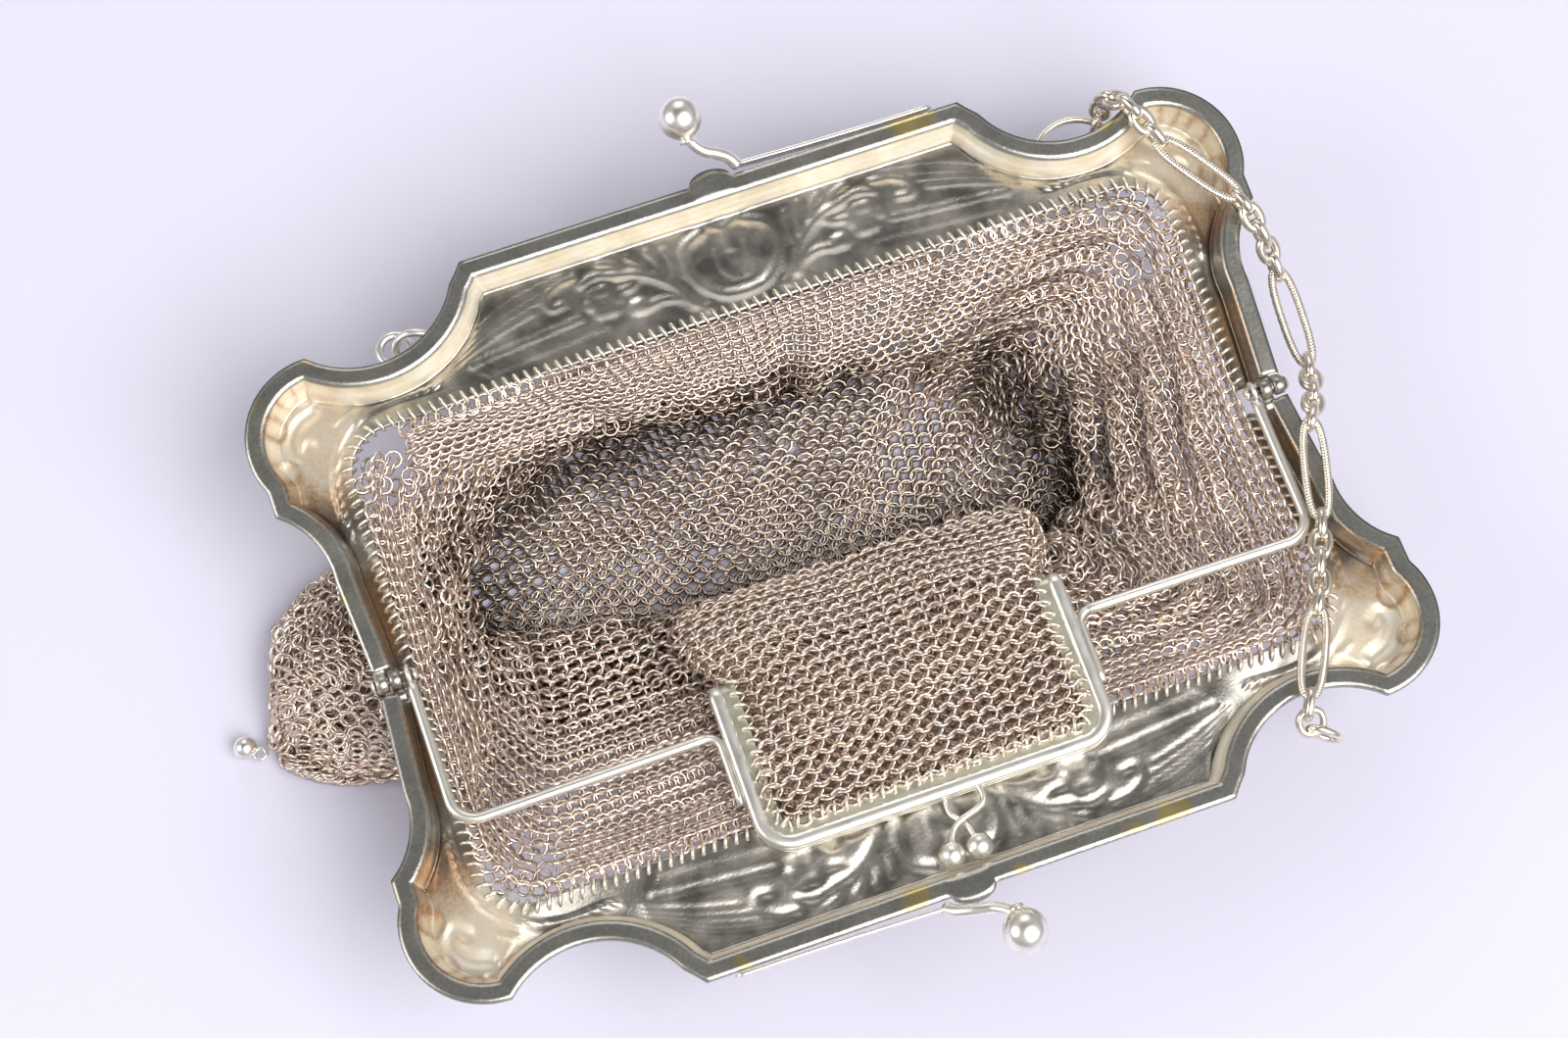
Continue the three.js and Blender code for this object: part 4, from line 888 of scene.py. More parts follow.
def clasp(side, foot, ball_x):
    """A spring strip along the edge, a stalk eased through its table, and the ball on its collar."""
    seat = FRAME_HALF_DEPTH + CLEARANCE + STRIP_THICKNESS / 2
    start = on_half(side, foot, seat + STRIP_THICKNESS, SHEET / 2)
    centre = np.array([ball_x, side * BALL_REACH, BALL_HEIGHT])
    stalk = curve_through(start + np.array(STALK) * (centre - start), 6)
    share = np.linspace(0, 1, 40)
    away = math.copysign(STRIP_LENGTH, foot)
    strip = np.stack([
        on_half(side, foot + away * t, seat + STRIP_THICKNESS * (1 - t) ** 2, SHEET / 2) for t in share
    ])
    tip = np.sqrt(np.clip(1 - np.clip((share - (1 - STRIP_TIP)) / STRIP_TIP, 0, 1) ** 2, 0.2, 1))
    thin = 1 + 0.25 * np.linspace(1, 0, len(stalk)) ** 2
    reach = unit(stalk[-1] - stalk[-4])
    collar_path = centre - reach * (BALL_RADIUS + np.array([0.7, 0.35, -0.2]))[:, None]
    return join(
        sweep(stalk, circle(STALK_RADIUS, 14), scale=thin),
        sweep(strip, rounded_box(STRIP_THICKNESS, STRIP_WIDTH, 5), scale=tip),
        ball(centre, BALL_RADIUS, 40, 26),
        sweep(collar_path, circle(STALK_RADIUS + 0.35, 16)),
    )


def tail_drop():
    """The drop ball beside its flat loop of wire, at the tip of the sack's tail."""
    low, high = (np.array(corner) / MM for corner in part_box("drop_ball"))
    place = np.array([high[0] - DROP_LOOP_RADIUS - DROP_LOOP_WIRE, 0.05 * SACK_HALF_DEPTH, DROP_LOOP_HEIGHT])
    towards = np.array([math.cos(DROP_TURN), math.sin(DROP_TURN), 0])
    centre = place + (DROP_LOOP_RADIUS + DROP_REACH - DROP_LOOP_WIRE) * towards
    points, faces = wire_ring(DROP_LOOP_RADIUS, DROP_LOOP_WIRE, 28, 8)
    return join(ball(centre, (high[2] - low[2]) / 2), (points + place, faces))


def pin(end):
    """A hinge pin with a domed head at each end."""
    eye = KNUCKLE_INNER_X - CLEARANCE - BAIL_RADIUS
    inner = eye - BAIL_RADIUS / 2 - CLEARANCE
    outer = OUTER_KNUCKLE_X + KNUCKLE_LENGTH + CLEARANCE
    dome = np.linspace(0.02, 1, 6)
    profile = [(PIN_HEAD_RADIUS * t, inner - PIN_HEAD_LENGTH * math.sqrt(1 - t * t)) for t in dome]
    profile += [(PIN_RADIUS, inner), (PIN_RADIUS, outer), (PIN_HEAD_RADIUS, outer)]
    profile += [
        (PIN_HEAD_RADIUS * t, outer + 0.7 * PIN_HEAD_LENGTH * math.sqrt(1 - t * t)) for t in dome[::-1]
    ]
    return turned([(radius, end * x) for radius, x in profile])


# Coin purse

# Steps along an arm, round a corner and along half the front bar of a coin frame.
COIN_STEPS = 14


def coin_path(height, inset=0.0):
    """The U of a coin frame: two arms and a front bar with round corners, moved in by inset."""
    reach = COIN_HALF_WIDTH - COIN_BAR_WIDTH / 2 - inset
    front = COIN_FRONT_Y + COIN_BAR_WIDTH / 2 + inset
    radius = max(COIN_CORNER_RADIUS - inset, 0.6)
    turn = np.linspace(np.pi, 1.5 * np.pi, COIN_STEPS)
    corner = radius * np.stack([np.cos(turn), np.sin(turn)], 1) + [-reach + radius, front + radius]
    down = np.linspace(COIN_BACK_Y, front + radius, COIN_STEPS + 1)[:-1]
    across = np.linspace(-reach + radius, 0, COIN_STEPS + 1)[1:-1]
    arm = np.column_stack([np.full(len(down), -reach), down])
    bar = np.column_stack([across, np.full(len(across), front)])
    left = np.vstack([arm, corner, bar])
    right = left[::-1] * [-1, 1]
    flat = np.vstack([left, [[0, front]], right]) + [COIN_CENTRE_X, 0]
    return np.column_stack([flat, np.full(len(flat), height)])


def coin_bar(height):
    """The polished half-round bar, softened at its two ends."""
    path = coin_path(height)
    soft = np.ones(len(path))
    soft[[0, -1]] = 0.72
    return sweep(path, rounded_box(COIN_BAR_WIDTH, COIN_BAR_HEIGHT, 2.6, 20), scale=soft)


def coin_flange(height):
    """The flat perforated flange inside a bar, a thin strip from the bar to the stitches."""
    inset = COIN_BAR_WIDTH / 2 + COIN_FLANGE_WIDTH / 2 - 0.4
    return sweep(coin_path(height, inset), rounded_box(COIN_FLANGE_WIDTH, 0.35, 6))


COIN_BALL_RADIUS = 2
COIN_BALL_GAP = 2 * COIN_BALL_RADIUS + CLEARANCE
COIN_BALL_Y = -(FRAME_HALF_DEPTH - RIM_WIDTH - COIN_BALL_RADIUS - 4 * CLEARANCE)
COIN_STALK_SHIFT = 5


def coin_clasp(from_x, ball_x, height):
    """A thin stalk from the front bar that bends to its kiss ball."""
    front = COIN_FRONT_Y + COIN_BAR_WIDTH / 2
    ball_z = COIN_FRAME_HEIGHT + COIN_BALL_RADIUS
    path = curve_through([
        (from_x, front, height),
        (from_x, front + 0.35 * (COIN_BALL_Y - front), height),
        (from_x + 0.75 * (ball_x - from_x), front + 0.6 * (COIN_BALL_Y - front), (height + ball_z) / 2),
        (ball_x, COIN_BALL_Y, ball_z),
    ], 8)
    return join(sweep(path, circle(COIN_BAR_HEIGHT / 3.4, 12)), ball(path[-1], COIN_BALL_RADIUS))


# The bail wire's eye round the hinge pin.
EYE_WIRE = BAIL_RADIUS / 2
EYE_RADIUS = PIN_RADIUS + CLEARANCE + EYE_WIRE + 0.05


def bail_wire(end):
    """A bail wire: from its eye along the arm, round a corner to the coin frame, then bent down
    along the outer side of the frame's arm."""
    x = end * (KNUCKLE_INNER_X - CLEARANCE - BAIL_RADIUS)
    radius, soft = BAIL_CORNER_RADIUS, BAIL_BEND_RADIUS
    turn = np.linspace(0, np.pi / 2, 14)
    bar_x = COIN_CENTRE_X + end * (COIN_HALF_WIDTH + BAIL_RADIUS * 0.6)
    foot = -np.linspace(0, 1, 8)[1:] * BAIL_FOOT + BAIL_CROSS_Y
    corner = np.stack([x - end * radius * (1 - np.cos(turn)), BAIL_CROSS_Y + radius * (1 - np.sin(turn))], 1)
    bend = np.stack([bar_x + end * soft * (1 - np.sin(turn)), BAIL_CROSS_Y - soft * (1 - np.cos(turn))], 1)
    arm = np.linspace(-EYE_RADIUS, BAIL_CROSS_Y + radius, 17)[:-1]
    cross = np.linspace(x - end * radius, bar_x + end * soft, 26)[1:-1]
    flat = np.vstack([
        np.column_stack([np.full(len(arm), x), arm]), corner,
        np.column_stack([cross, np.full(len(cross), BAIL_CROSS_Y)]), bend,
        np.column_stack([np.full(len(foot) - 1, bar_x), foot[1:] - soft * 0.6]),
    ])
    travelled = lengths_along(flat)
    bend_start = len(arm) + len(corner) + len(cross)
    to_bar = np.clip(travelled / travelled[bend_start - 1], 0, 1)
    height = HINGE_HEIGHT + to_bar * (COIN_FRAME_HEIGHT - HINGE_HEIGHT)
    thin = np.where(travelled > travelled[bend_start], 0.8, 1.0)
    return sweep(np.column_stack([flat, height]), circle(BAIL_RADIUS, 14), scale=thin)


# Ring mesh

# The sack's sections from the mouth to the tail's tip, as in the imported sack: the places of the
# left, right, front and back points, the squareness and the mix.
SACK = np.array([
    [-1.00, 0.00, 0.865, 1.00, 0.00, 0.865, 0.00, -1.00, 0.990, 0.00, 1.00, 0.990, 10.0, 1.0],
    [-0.97, 0.03, 0.680, 0.95, 0.00, 0.730, 0.00, -0.87, 0.810, 0.00, 0.95, 0.700, 7.0, 1.5],
    [-0.94, 0.11, 0.530, 0.85, 0.00, 0.580, 0.00, -0.63, 0.660, 0.00, 0.90, 0.470, 5.0, 2.0],
    [-0.89, 0.24, 0.410, 0.75, 0.03, 0.430, -0.03, -0.35, 0.520, 0.00, 0.88, 0.290, 3.6, 2.0],
    [-0.86, 0.33, 0.310, 0.66, 0.05, 0.260, -0.06, -0.10, 0.400, -0.03, 0.93, 0.120, 2.8, 2.0],
    [-0.90, 0.37, 0.230, 0.65, 0.00, 0.090, -0.07, -0.08, 0.220, -0.12, 0.95, 0.025, 2.2, 2.0],
    [-0.96, 0.39, 0.270, 0.62, -0.13, 0.025, -0.15, -0.27, 0.125, -0.36, 0.91, 0.025, 1.8, 2.0],
    [-1.05, 0.37, 0.370, 0.51, -0.29, 0.025, -0.38, -0.35, 0.135, -0.64, 0.80, 0.025, 1.6, 2.0],
    [-1.15, 0.33, 0.450, 0.18, -0.40, 0.025, -0.73, -0.30, 0.170, -0.88, 0.71, 0.035, 1.6, 2.0],
    [-1.24, 0.27, 0.450, -0.38, -0.35, 0.025, -0.97, -0.20, 0.250, -1.06, 0.61, 0.085, 1.8, 2.0],
    [-1.32, 0.17, 0.350, -0.93, -0.21, 0.030, -1.16, -0.15, 0.250, -1.22, 0.47, 0.125, 2.0, 2.0],
    [-1.36, 0.08, 0.210, -1.26, -0.08, 0.035, -1.30, -0.11, 0.145, -1.32, 0.24, 0.105, 2.0, 2.0],
    [-1.39, 0.05, 0.130, -1.38, 0.02, 0.070, -1.39, 0.01, 0.100, -1.39, 0.06, 0.100, 2.0, 2.0],
])
# Main folds: where around from the right, width, depth as a share of the half depth, first and
# last row.
FOLDS = [
    (0.975, 0.016, 0.075, 0.5, 5.0), (0.030, 0.016, 0.085, 0.5, 5.0), (0.085, 0.016, 0.070, 0.5, 4.5),
    (0.200, 0.014, 0.030, 0.5, 4.0), (0.300, 0.014, 0.035, 0.5, 4.0), (0.640, 0.022, 0.050, 1.0, 4.5),
    (0.850, 0.020, 0.060, 1.0, 4.5),
]
# Small folds of the hanging walls: waves around the sack, height in mm, and phase.
SMALL_FOLDS = [(19, 0.60, 0.4), (31, 0.70, 2.1)]
# Places where the mesh lies bunched in cross folds: where around, how wide, height of the folds in
# mm, their length down the wall in mm, and phase.
BUNCHES = [
    (0.0, 0.07, 1.9, 6.5, 0.3), (0.10, 0.04, 1.3, 6.0, 1.7), (0.91, 0.05, 1.5, 6.5, 2.6),
    (0.72, 0.10, 0.8, 8.0, 0.9), (0.48, 0.08, 0.8, 7.0, 4.0),
]
# The hem of the back curtain stands in over the floor: where down the sack, how wide and how deep.
HEM = {"row": 3.3, "width": 0.75, "depth": 3.4, "waves": 23}
# The pitch of the gathered rings on the hanging walls as a share of the usual one, and how far down
# the walls reach in mm.
GATHERED = 0.72
WALL_REACH = 24
# Corners of the mouth where the mesh is an open net: x, y and reach in mm.
OPEN_CORNERS = [(62, 33, 8.5), (-62, 34, 6.5), (-60, -33, 6)]
# Share of the rings missing there, and the height above which they are missing.
OPEN_SHARE = 0.42
OPEN_HEIGHT = 12
# The sack's rings are split into pieces across these places in x.
SACK_SPLITS = [-66, -42, -16, 18]
SACK_PIECES = ["sack_tail_rings", "sack_left_rings", "sack_middle_left_rings", "sack_middle_right_rings",
               "sack_right_rings"]
# Rings missing from the sack's floor, in x and y, how near a ring is to one, and the floor's height.
MISSING = [(-32.0, 23.9), (-19.0, 16.0), (-2.3, 24.1), (0.3, 21.9), (2.1, 13.0)]
MISSING_REACH = 1.1
FLOOR_TOP = 4
# Gap between the lowest rings and the table.
TABLE_GAP = 0.03
# Where rings of a row stand closer than the first share of their pitch, every second one is left
# out, and below the second share only every fourth stays. Rows closer than these shares of their
# step are thinned alike, two at a time.
RING_CROWDING = (0.6, 0.3)
ROW_CROWDING = (0.5, 0.25)


def eased_rows(table, places):
    """Eases between the rows of a table, column by column, with Catmull-Rom."""
    last = len(table) - 1
    k = np.minimum(places.astype(int), last - 1)
    t = (places - k)[:, None]
    value, following = table[k], table[k + 1]
    before, after = table[np.maximum(k - 1, 0)], table[np.minimum(k + 2, last)]
    return eased(value, following - value, (following - before) / 2, (after - value) / 2, t)


def sack_surface(around=240, step=0.05):
    """The sack's mid surface. A section's point is its side points' middle, eased to its front and
    back points' middle, plus a signed power of cosine across and of sine along. The folds and the
    hem push it in by bell curves and sines, and the bunches lift and drop it by a sine."""
    places = np.arange(0, len(SACK) - 1 + step / 2, step)
    size = np.array([SACK_HALF_WIDTH, SACK_HALF_DEPTH, HINGE_HEIGHT])
    angle = np.arange(480) * TURN / 480
    loops = []
    for row in eased_rows(SACK, places):
        left, right, front, back = (row[i:i + 3] * size for i in (0, 3, 6, 9))
        square, mix = row[12], row[13]
        across = signed_power(np.cos(angle), 2 / square)[:, None]
        along = signed_power(np.sin(angle), 2 / square)[:, None]
        sides, ends = (left + right) / 2, (front + back) / 2
        curve = (sides + np.abs(along) ** mix * (ends - sides)
                 + across * (right - left) / 2 + along * (back - front) / 2)
        loops.append(even_steps(curve, around, closed=True))
    surface = np.stack([sewn_edge(around)] + loops)
    places = np.concatenate([[0], places])
    share = np.arange(around) / around
    centre = surface.mean(1, keepdims=True)
    inward = centre - surface
    inward[..., 2] = 0
    inward = unit(inward)
    move = np.zeros(surface.shape[:2])
    for where, width, depth, first, last in FOLDS:
        reach = plateau(first, first + 1, last - 1, last, places)[:, None]
        move += depth * SACK_HALF_DEPTH * reach * np.exp(-((way_round(share, where) / width) ** 2))
    hanging = plateau(0.2, 1.2, 4.0, 6.0, places)[:, None]
    for waves, height, phase in SMALL_FOLDS:
        drift = 0.7 * np.sin(places * 1.3 + phase)[:, None]
        move += height * hanging * np.sin(TURN * waves * share[None] + phase + drift)
    behind = plateau(0.0, 0.05, 0.47, 0.54, share)
    hem = np.exp(-(((places - HEM["row"]) / HEM["width"]) ** 2))[:, None] * behind[None]
    move += HEM["depth"] * hem * (0.78 + 0.22 * np.sin(TURN * HEM["waves"] * share + 1.0))[None]
    surface = surface + inward * move[..., None]
    travel = lengths_down(surface)
    above_floor = (1 - smooth_step(4.2, 5.4, places))[:, None]
    for where, width, height, length, phase in BUNCHES:
        here = np.exp(-((way_round(share, where) / width) ** 2)) * smooth_step(3, 8, travel) * above_floor
        wave = np.sin(TURN * travel / length + phase + 2.2 * np.sin(TURN * share[None] * 5))
        surface[..., 2] += height * here * wave
        surface += inward * (0.6 * height * here * wave)[..., None]
    return surface


def half_mouth(share):
    """The mouth edge of one half, from its right hinge to its left, through shares of a quarter."""
    quarter = mouth_point(share)
    return np.vstack([quarter, quarter[::-1][1:] * [-1, 1]])


def sewn_edge(around, inset=0.5):
    """The loop just inside the mouth edge, from the right hinge round by the back."""
    half = half_mouth(np.linspace(0, 1, 200))
    line = np.vstack([half, half[::-1][1:-1] * [1, -1]])
    flat = even_steps(line, around, closed=True)
    flat -= inset * unit(flat)
    height = on_half(1, flat[:, 0], np.abs(flat[:, 1]), MOUTH_EDGE_DEPTH + SHEET)[2]
    return np.column_stack([flat, height])


# The pocket's sections from its seam to its fold: the share of the way back, the half width's share
# of the pocket's, and the lowest and highest point as shares of the coin frame's height.
POCKET = np.array([
    [0.00, 0.90, 1.01, 1.08], [0.08, 0.99, 0.99, 1.09], [0.36, 1.00, 0.87, 1.11], [0.62, 1.00, 0.78, 1.06],
    [0.76, 1.12, 0.69, 0.97], [0.89, 1.15, 0.62, 0.83], [0.96, 1.07, 0.62, 0.72], [0.98, 1.00, 0.655, 0.68],
])


def pocket_surface(around=200, step=0.05):
    """The coin pocket's mid surface: a squarish section whose half width and heights ease along it,
    dented by two crossing sines."""
    front_y = COIN_FRONT_Y + COIN_BAR_WIDTH + CLEARANCE + POCKET_WALL / 2
    loops = []
    for share, reach, low, high in eased_rows(POCKET, np.arange(0, len(POCKET) - 1 + step / 2, step)):
        low, high = low * COIN_FRAME_HEIGHT, high * COIN_FRAME_HEIGHT
        section = oval(reach * POCKET_HALF_WIDTH, max(high - low, 0.3) / 2, 240, 3.0)
        flat = even_steps(section, around, closed=True)
        y = np.full(around, front_y * (1 - share) - 2 * share)
        loops.append(np.stack([COIN_CENTRE_X + flat[:, 0], y, (low + high) / 2 + flat[:, 1]], 1))
    surface = np.stack(loops)
    x, y = surface[..., 0], surface[..., 1]
    dent = 0.8 * np.sin(x / 4.6 + y / 7.0) + 0.7 * np.sin(x / 9.0 - y / 3.8 + 1.2)
    surface[..., 2] += dent * smooth_step(-44, -34, y)
    return surface


# Spread from ring to ring: its tilt, its turn, its place in mm, and its tone's middle and spread.
RING_TILT = math.radians(2)
RING_TURN = 0.025
RING_SHIFT = 0.02
RING_TONE = (0.93, 0.06)
# A block of rows ends when its rows' length has changed by this share.
BLOCK_CHANGE = 0.14
# How far before the end of a meridian its rows stop, in mm.
ROWS_END = 0.3


def row_blocks(lengths, most):
    """First row and end of each block: at most so many rows, each about as long as the first."""
    blocks = []
    end = 0
    while end < len(lengths):
        start, end = end, end + 1
        while end < min(start + most, len(lengths)) and abs(lengths[end] / lengths[start] - 1) < BLOCK_CHANGE:
            end += 1
        blocks.append((start, end))
    return blocks


def crowded_out(centre, tangent, drop, row, pitch, step):
    """Rings of a row that are left out: by the distance to the next ring as a share of the pitch,
    and by the distance from row to row, square to the row, as a share of the step."""
    order = np.arange(len(centre))
    gap = np.linalg.norm(np.roll(centre, -1, 0) - centre, axis=1) / pitch
    slide = np.sum(drop * tangent, 1, keepdims=True) * tangent
    rise = np.linalg.norm(drop - slide, axis=1) / step
    spare = (gap < RING_CROWDING[0]) & (order % 2 == 1) | (gap < RING_CROWDING[1]) & (order % 4 != 0)
    return spare | (rise < ROW_CROWDING[0]) & (row % 4 > 1) | (rise < ROW_CROWDING[1]) & (row % 8 > 1)


def woven_rings(surface, sizes, seed, first_row, gathered_until=0.0):
    """Lays rows of rings over a mid surface. Rows keep an even distance down every meridian; in a
    block of rows the rings keep even places around, shifted by half a pitch from row to row, and
    lean to alternate sides. Rows nearer the mouth than gathered_until are pushed closer together
    around, and rings that crowd are left out. Returns centres, tangents, normals and a tone for
    each ring."""
    rng = np.random.default_rng(seed)
    travel = lengths_down(surface)
    around = surface.shape[1]
    step = sizes.row_step / MM
    rows = np.arange(first_row, travel[-1].max(), step)
    sheet = np.stack([
        np.stack([np.interp(rows, travel[:, i], surface[:, i, axis]) for axis in range(3)], 1)
        for i in range(around)
    ], 1)
    alive = rows[:, None] < travel[-1][None] - ROWS_END
    lengths = np.linalg.norm(np.roll(sheet, -1, 1) - sheet, axis=2).sum(1)
    found = []
    for start, end in row_blocks(lengths, sizes.rows_in_block):
        middle = (start + end - 1) // 2
        loop, whole = sheet[middle], alive[middle] & np.roll(alive[middle], -1)
        reach = np.concatenate([[0], np.cumsum(np.linalg.norm(np.roll(loop, -1, 0) - loop, axis=1) * whole)])
        pitch = sizes.ring_pitch / MM * (GATHERED if rows[middle] < gathered_until else 1)
        count = int(round(reach[-1] / pitch))
        if count < 3:
            continue
        for j in range(start, end):
            wanted = (np.arange(count) + 0.25 + 0.5 * (j % 2)) / count * reach[-1]
            column = np.interp(wanted, reach, np.arange(around + 1)) % around
            low = column.astype(int) % around
            high = (low + 1) % around
            part = (column - np.floor(column))[:, None]
            centre = sheet[j, low] * (1 - part) + sheet[j, high] * part
            tangent = unit(sheet[j, (high + 2) % around] - sheet[j, (low - 2) % around])
            above, below = max(j - 1, 0), min(j + 1, len(rows) - 1)
            down = sheet[below, low] - sheet[above, low]
            spare = crowded_out(centre, tangent, down / max(below - above, 1), j, pitch, step)
            keep = alive[j, low] & alive[j, high] & ~spare
            lean = np.full(keep.sum(), 1.0 if j % 2 else -1.0)
            found.append((centre[keep], tangent[keep], unit(down)[keep], lean))
    centre, tangent, down, lean = (np.concatenate(columns) for columns in zip(*found))
    normal = unit(np.cross(tangent, down))
    tilt = sizes.ring_lean + rng.normal(0, RING_TILT, len(centre))
    face = normal * np.cos(tilt)[:, None] - down * (lean * np.sin(tilt))[:, None]
    face += tangent * rng.normal(0, RING_TURN, len(centre))[:, None]
    centre = centre + rng.normal(0, RING_SHIFT, centre.shape)
    tone = np.clip(rng.normal(*RING_TONE, len(centre)), 0, 1)
    return centre, tangent, unit(face), tone


def painted_shade_and_streaks(centre):
    """How bright a ring of the sack is painted: painted shade darkens the low rings, most along the sunk
    floor's border and in the deep corners under the hem, by soft steps of the place, and faint
    streaks vary the tone."""
    x, y, z = centre.T
    low = (1 - smooth_step(6.0, 11.0, z)) * smooth_step(-72, -62, x)
    border = np.maximum.reduce([
        smooth_step(24, 33, y - 0.06 * x), 1 - smooth_step(-56, -40, x), smooth_step(24, 40, x),
        1 - smooth_step(-2, 8, y),
    ])
    streak = 0.5 + 0.5 * np.sin(x / 3.1 + 1.3 * np.sin(y / 4.3)) * np.sin(y / 5.7 + z / 4.1)
    return 1 - low * (0.12 + 0.64 * border) - 0.12 * streak


def mouth_line(count, inset):
    """Even places round the mouth edge of a half, moved out by inset, and the outward direction."""
    line = even_steps(half_mouth(np.linspace(0.03, 1, 800)), count)
    ahead = unit(np.gradient(line, axis=0))
    out = np.stack([ahead[:, 1], -ahead[:, 0]], 1)
    return line + out * inset, out


# Stitches: how many, how far in or out from their edge, how far below the sheet's middle, the slant
# of each, and the radius and wire of its ring.
MOUTH_STITCHES = {"count": 118, "inset": 0.55, "sink": 0.1, "slant": 0.35, "radius": 1.15, "wire": 0.31}
FLANGE_STITCHES = {"count": 50, "inset": 0.6, "slant": 0.3, "radius": 1.0, "wire": 0.3}


def stitch_rings(row, centres, along, normal):
    """Small rings of few sides, one for each stitch."""
    return many_rings(centres, along, normal, row["radius"], row["wire"], 8, 4)


# Handle chain

# The chain's route from the carrying ring to its free end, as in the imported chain.
CHAIN_ROUTE = [
    (62.05, 51.1, 19.6), (63.1, 52.2, 22.4), (63.6, 52.8, 26.4), (65.0, 50.8, 30.1), (67.0, 46.4, 30.2),
    (68.8, 42.4, 28.4), (73.9, 35.4, 27.2), (77.1, 28.6, 29.0), (78.2, 24.0, 27.6), (79.2, 20.8, 24.8),
    (79.8, 17.2, 22.0), (79.9, 11.8, 19.2), (79.9, 5.8, 18.9), (78.6, 0.8, 20.8), (76.6, -4.2, 24.4),
    (73.6, -8.9, 27.1), (71.6, -15.6, 26.9), (69.2, -24.4, 26.6), (67.2, -28.4, 26.6), (65.6, -32.4, 26.6),
    (63.9, -35.8, 26.8), (60.4, -41.0, 27.4), (57.6, -47.2, 30.0), (55.8, -50.2, 30.4), (55.2, -52.4, 29.2),
    (56.6, -54.9, 27.4), (60.0, -55.6, 26.2),
]
# Half length, half width and wire radius of each kind of link. A curb link's wire is drawn swollen.
LINK_KINDS = {
    "connector": {"length": 1.9, "width": 1.9, "wire": 0.55},
    "curb": {"length": 2.0, "width": 1.25, "wire": 0.55, "swell": 1.35},
    "cord": {"length": 7.8, "width": 1.7, "wire": 0.6},
    "end": {"length": 2.6, "width": 1.7, "wire": 0.55},
}
CHAIN_ORDER = (["connector"] + ["curb"] * 6 + (["cord"] + ["curb"] * 5) * 3
               + ["cord", "curb", "connector", "end"])
LINK_FUSE = 0.18
# The twisted wire of a long loop: strands, turns round the whole loop, and a strand's radius and
# distance from the middle as shares of the wire's radius.
TWIST = {"strands": 3, "turns": 24, "radius": 0.64, "off": 0.52}


def twisted_loop(length, width, wire):
    """A long loop of twisted wire: strands wound round the loop's path, each at the path plus its
    distance times cosine of the winding to the side and sine of it to the lift."""
    path = even_steps(oval(length, width, 400, 2.6), 168, closed=True)
    _, side, lift = path_axes(path, closed=True)
    section = circle(wire * TWIST["radius"], 5)
    strands = []
    for k in range(TWIST["strands"]):
        winding = np.arange(len(path)) / len(path) * TWIST["turns"] + k / TWIST["strands"]
        angle = winding[:, None] * TURN
        line = path + wire * TWIST["off"] * (np.cos(angle) * side + np.sin(angle) * lift)
        strands.append(sweep(line, section, closed=True))
    return join(*strands)


def chain_shape():
    """Every link along the route, curb links turned by a quarter from one to the next."""
    route = even_steps(curve_through(CHAIN_ROUTE), 4001)
    length = np.linalg.norm(np.diff(route, axis=0), axis=1).sum()

    def at(distance):
        return route[int(round(np.clip(distance / length, 0, 1) * (len(route) - 1)))]

    centre = LINK_KINDS["connector"]["length"]
    before, upright = None, True
    links = []
    for kind in CHAIN_ORDER:
        link = LINK_KINDS[kind]
        if before:
            centre += before["length"] + link["length"] - before["wire"] - link["wire"] + LINK_FUSE
            upright = False if kind == "cord" else not upright
        before = link
        near, far = at(centre - link["length"]), at(centre + link["length"])
        along = unit(far - near)
        level = unit(np.cross(UP, along))
        if kind == "cord":
            loop = twisted_loop(link["length"], link["width"], link["wire"])
        else:
            path = even_steps(oval(link["length"], link["width"], 200, 2.3), 28, closed=True)
            loop = sweep(path, circle(link["wire"] * link.get("swell", 1.0), 8), closed=True)
        links.append(placed(loop, (near + far) / 2, along, level if upright else np.cross(along, level)))
    return join(*links)


# Stage: places and sizes are in metres

FLOOR_REACH = 2.5
# The sky's brightness from the horizon up to straight overhead, by the height of the direction, and
# how much bluer than grey it is.
SKY_STOPS = [(0.0, 0.45), (0.25, 0.85), (0.55, 1.15), (0.74, 0.85), (0.86, 0.42), (1.0, 0.32)]
SKY_BLUE = 1.02
LIGHTS = [
    {"power": "key_power", "share": 1, "at": {"name": "key", "place": (0.4, -0.75, 1.15), "size": 1.2}},
    {"power": "fill_power", "share": 1, "at": {"name": "side", "place": (-0.9, 0.1, 0.6), "size": 0.6}},
    {"power": "fill_power", "share": 0.5, "at": {"name": "fill", "place": (0.2, 0.95, 0.7), "size": 0.7}},
]
# The camera's own directions at the photograph's viewing angle: right, down and forward.
CAMERA_RIGHT = np.array([0.94354, -0.33123, 0.00376])
CAMERA_DOWN = np.array([-0.31466, -0.89978, -0.30229])
CAMERA_FORWARD = np.array([0.10351, 0.28404, -0.95321])
CAMERA_PLACE = np.array([-56.29, -131.0, 479.17]) * MM
LENS = 72
SENSOR_WIDTH = 36
CLIP_START = 0.01


def in_place(data, right, up, backward, place):
    """Links an object whose own X, Y and Z run along three directions, at a place."""
    item = bpy.data.objects.new(data.name, data)
    turn = np.stack([right, up, backward], 1)
    item.matrix_world = Matrix([(*row, where) for row, where in zip(turn, place)] + [(0, 0, 0, 1)])
    bpy.context.scene.collection.objects.link(item)
    return item


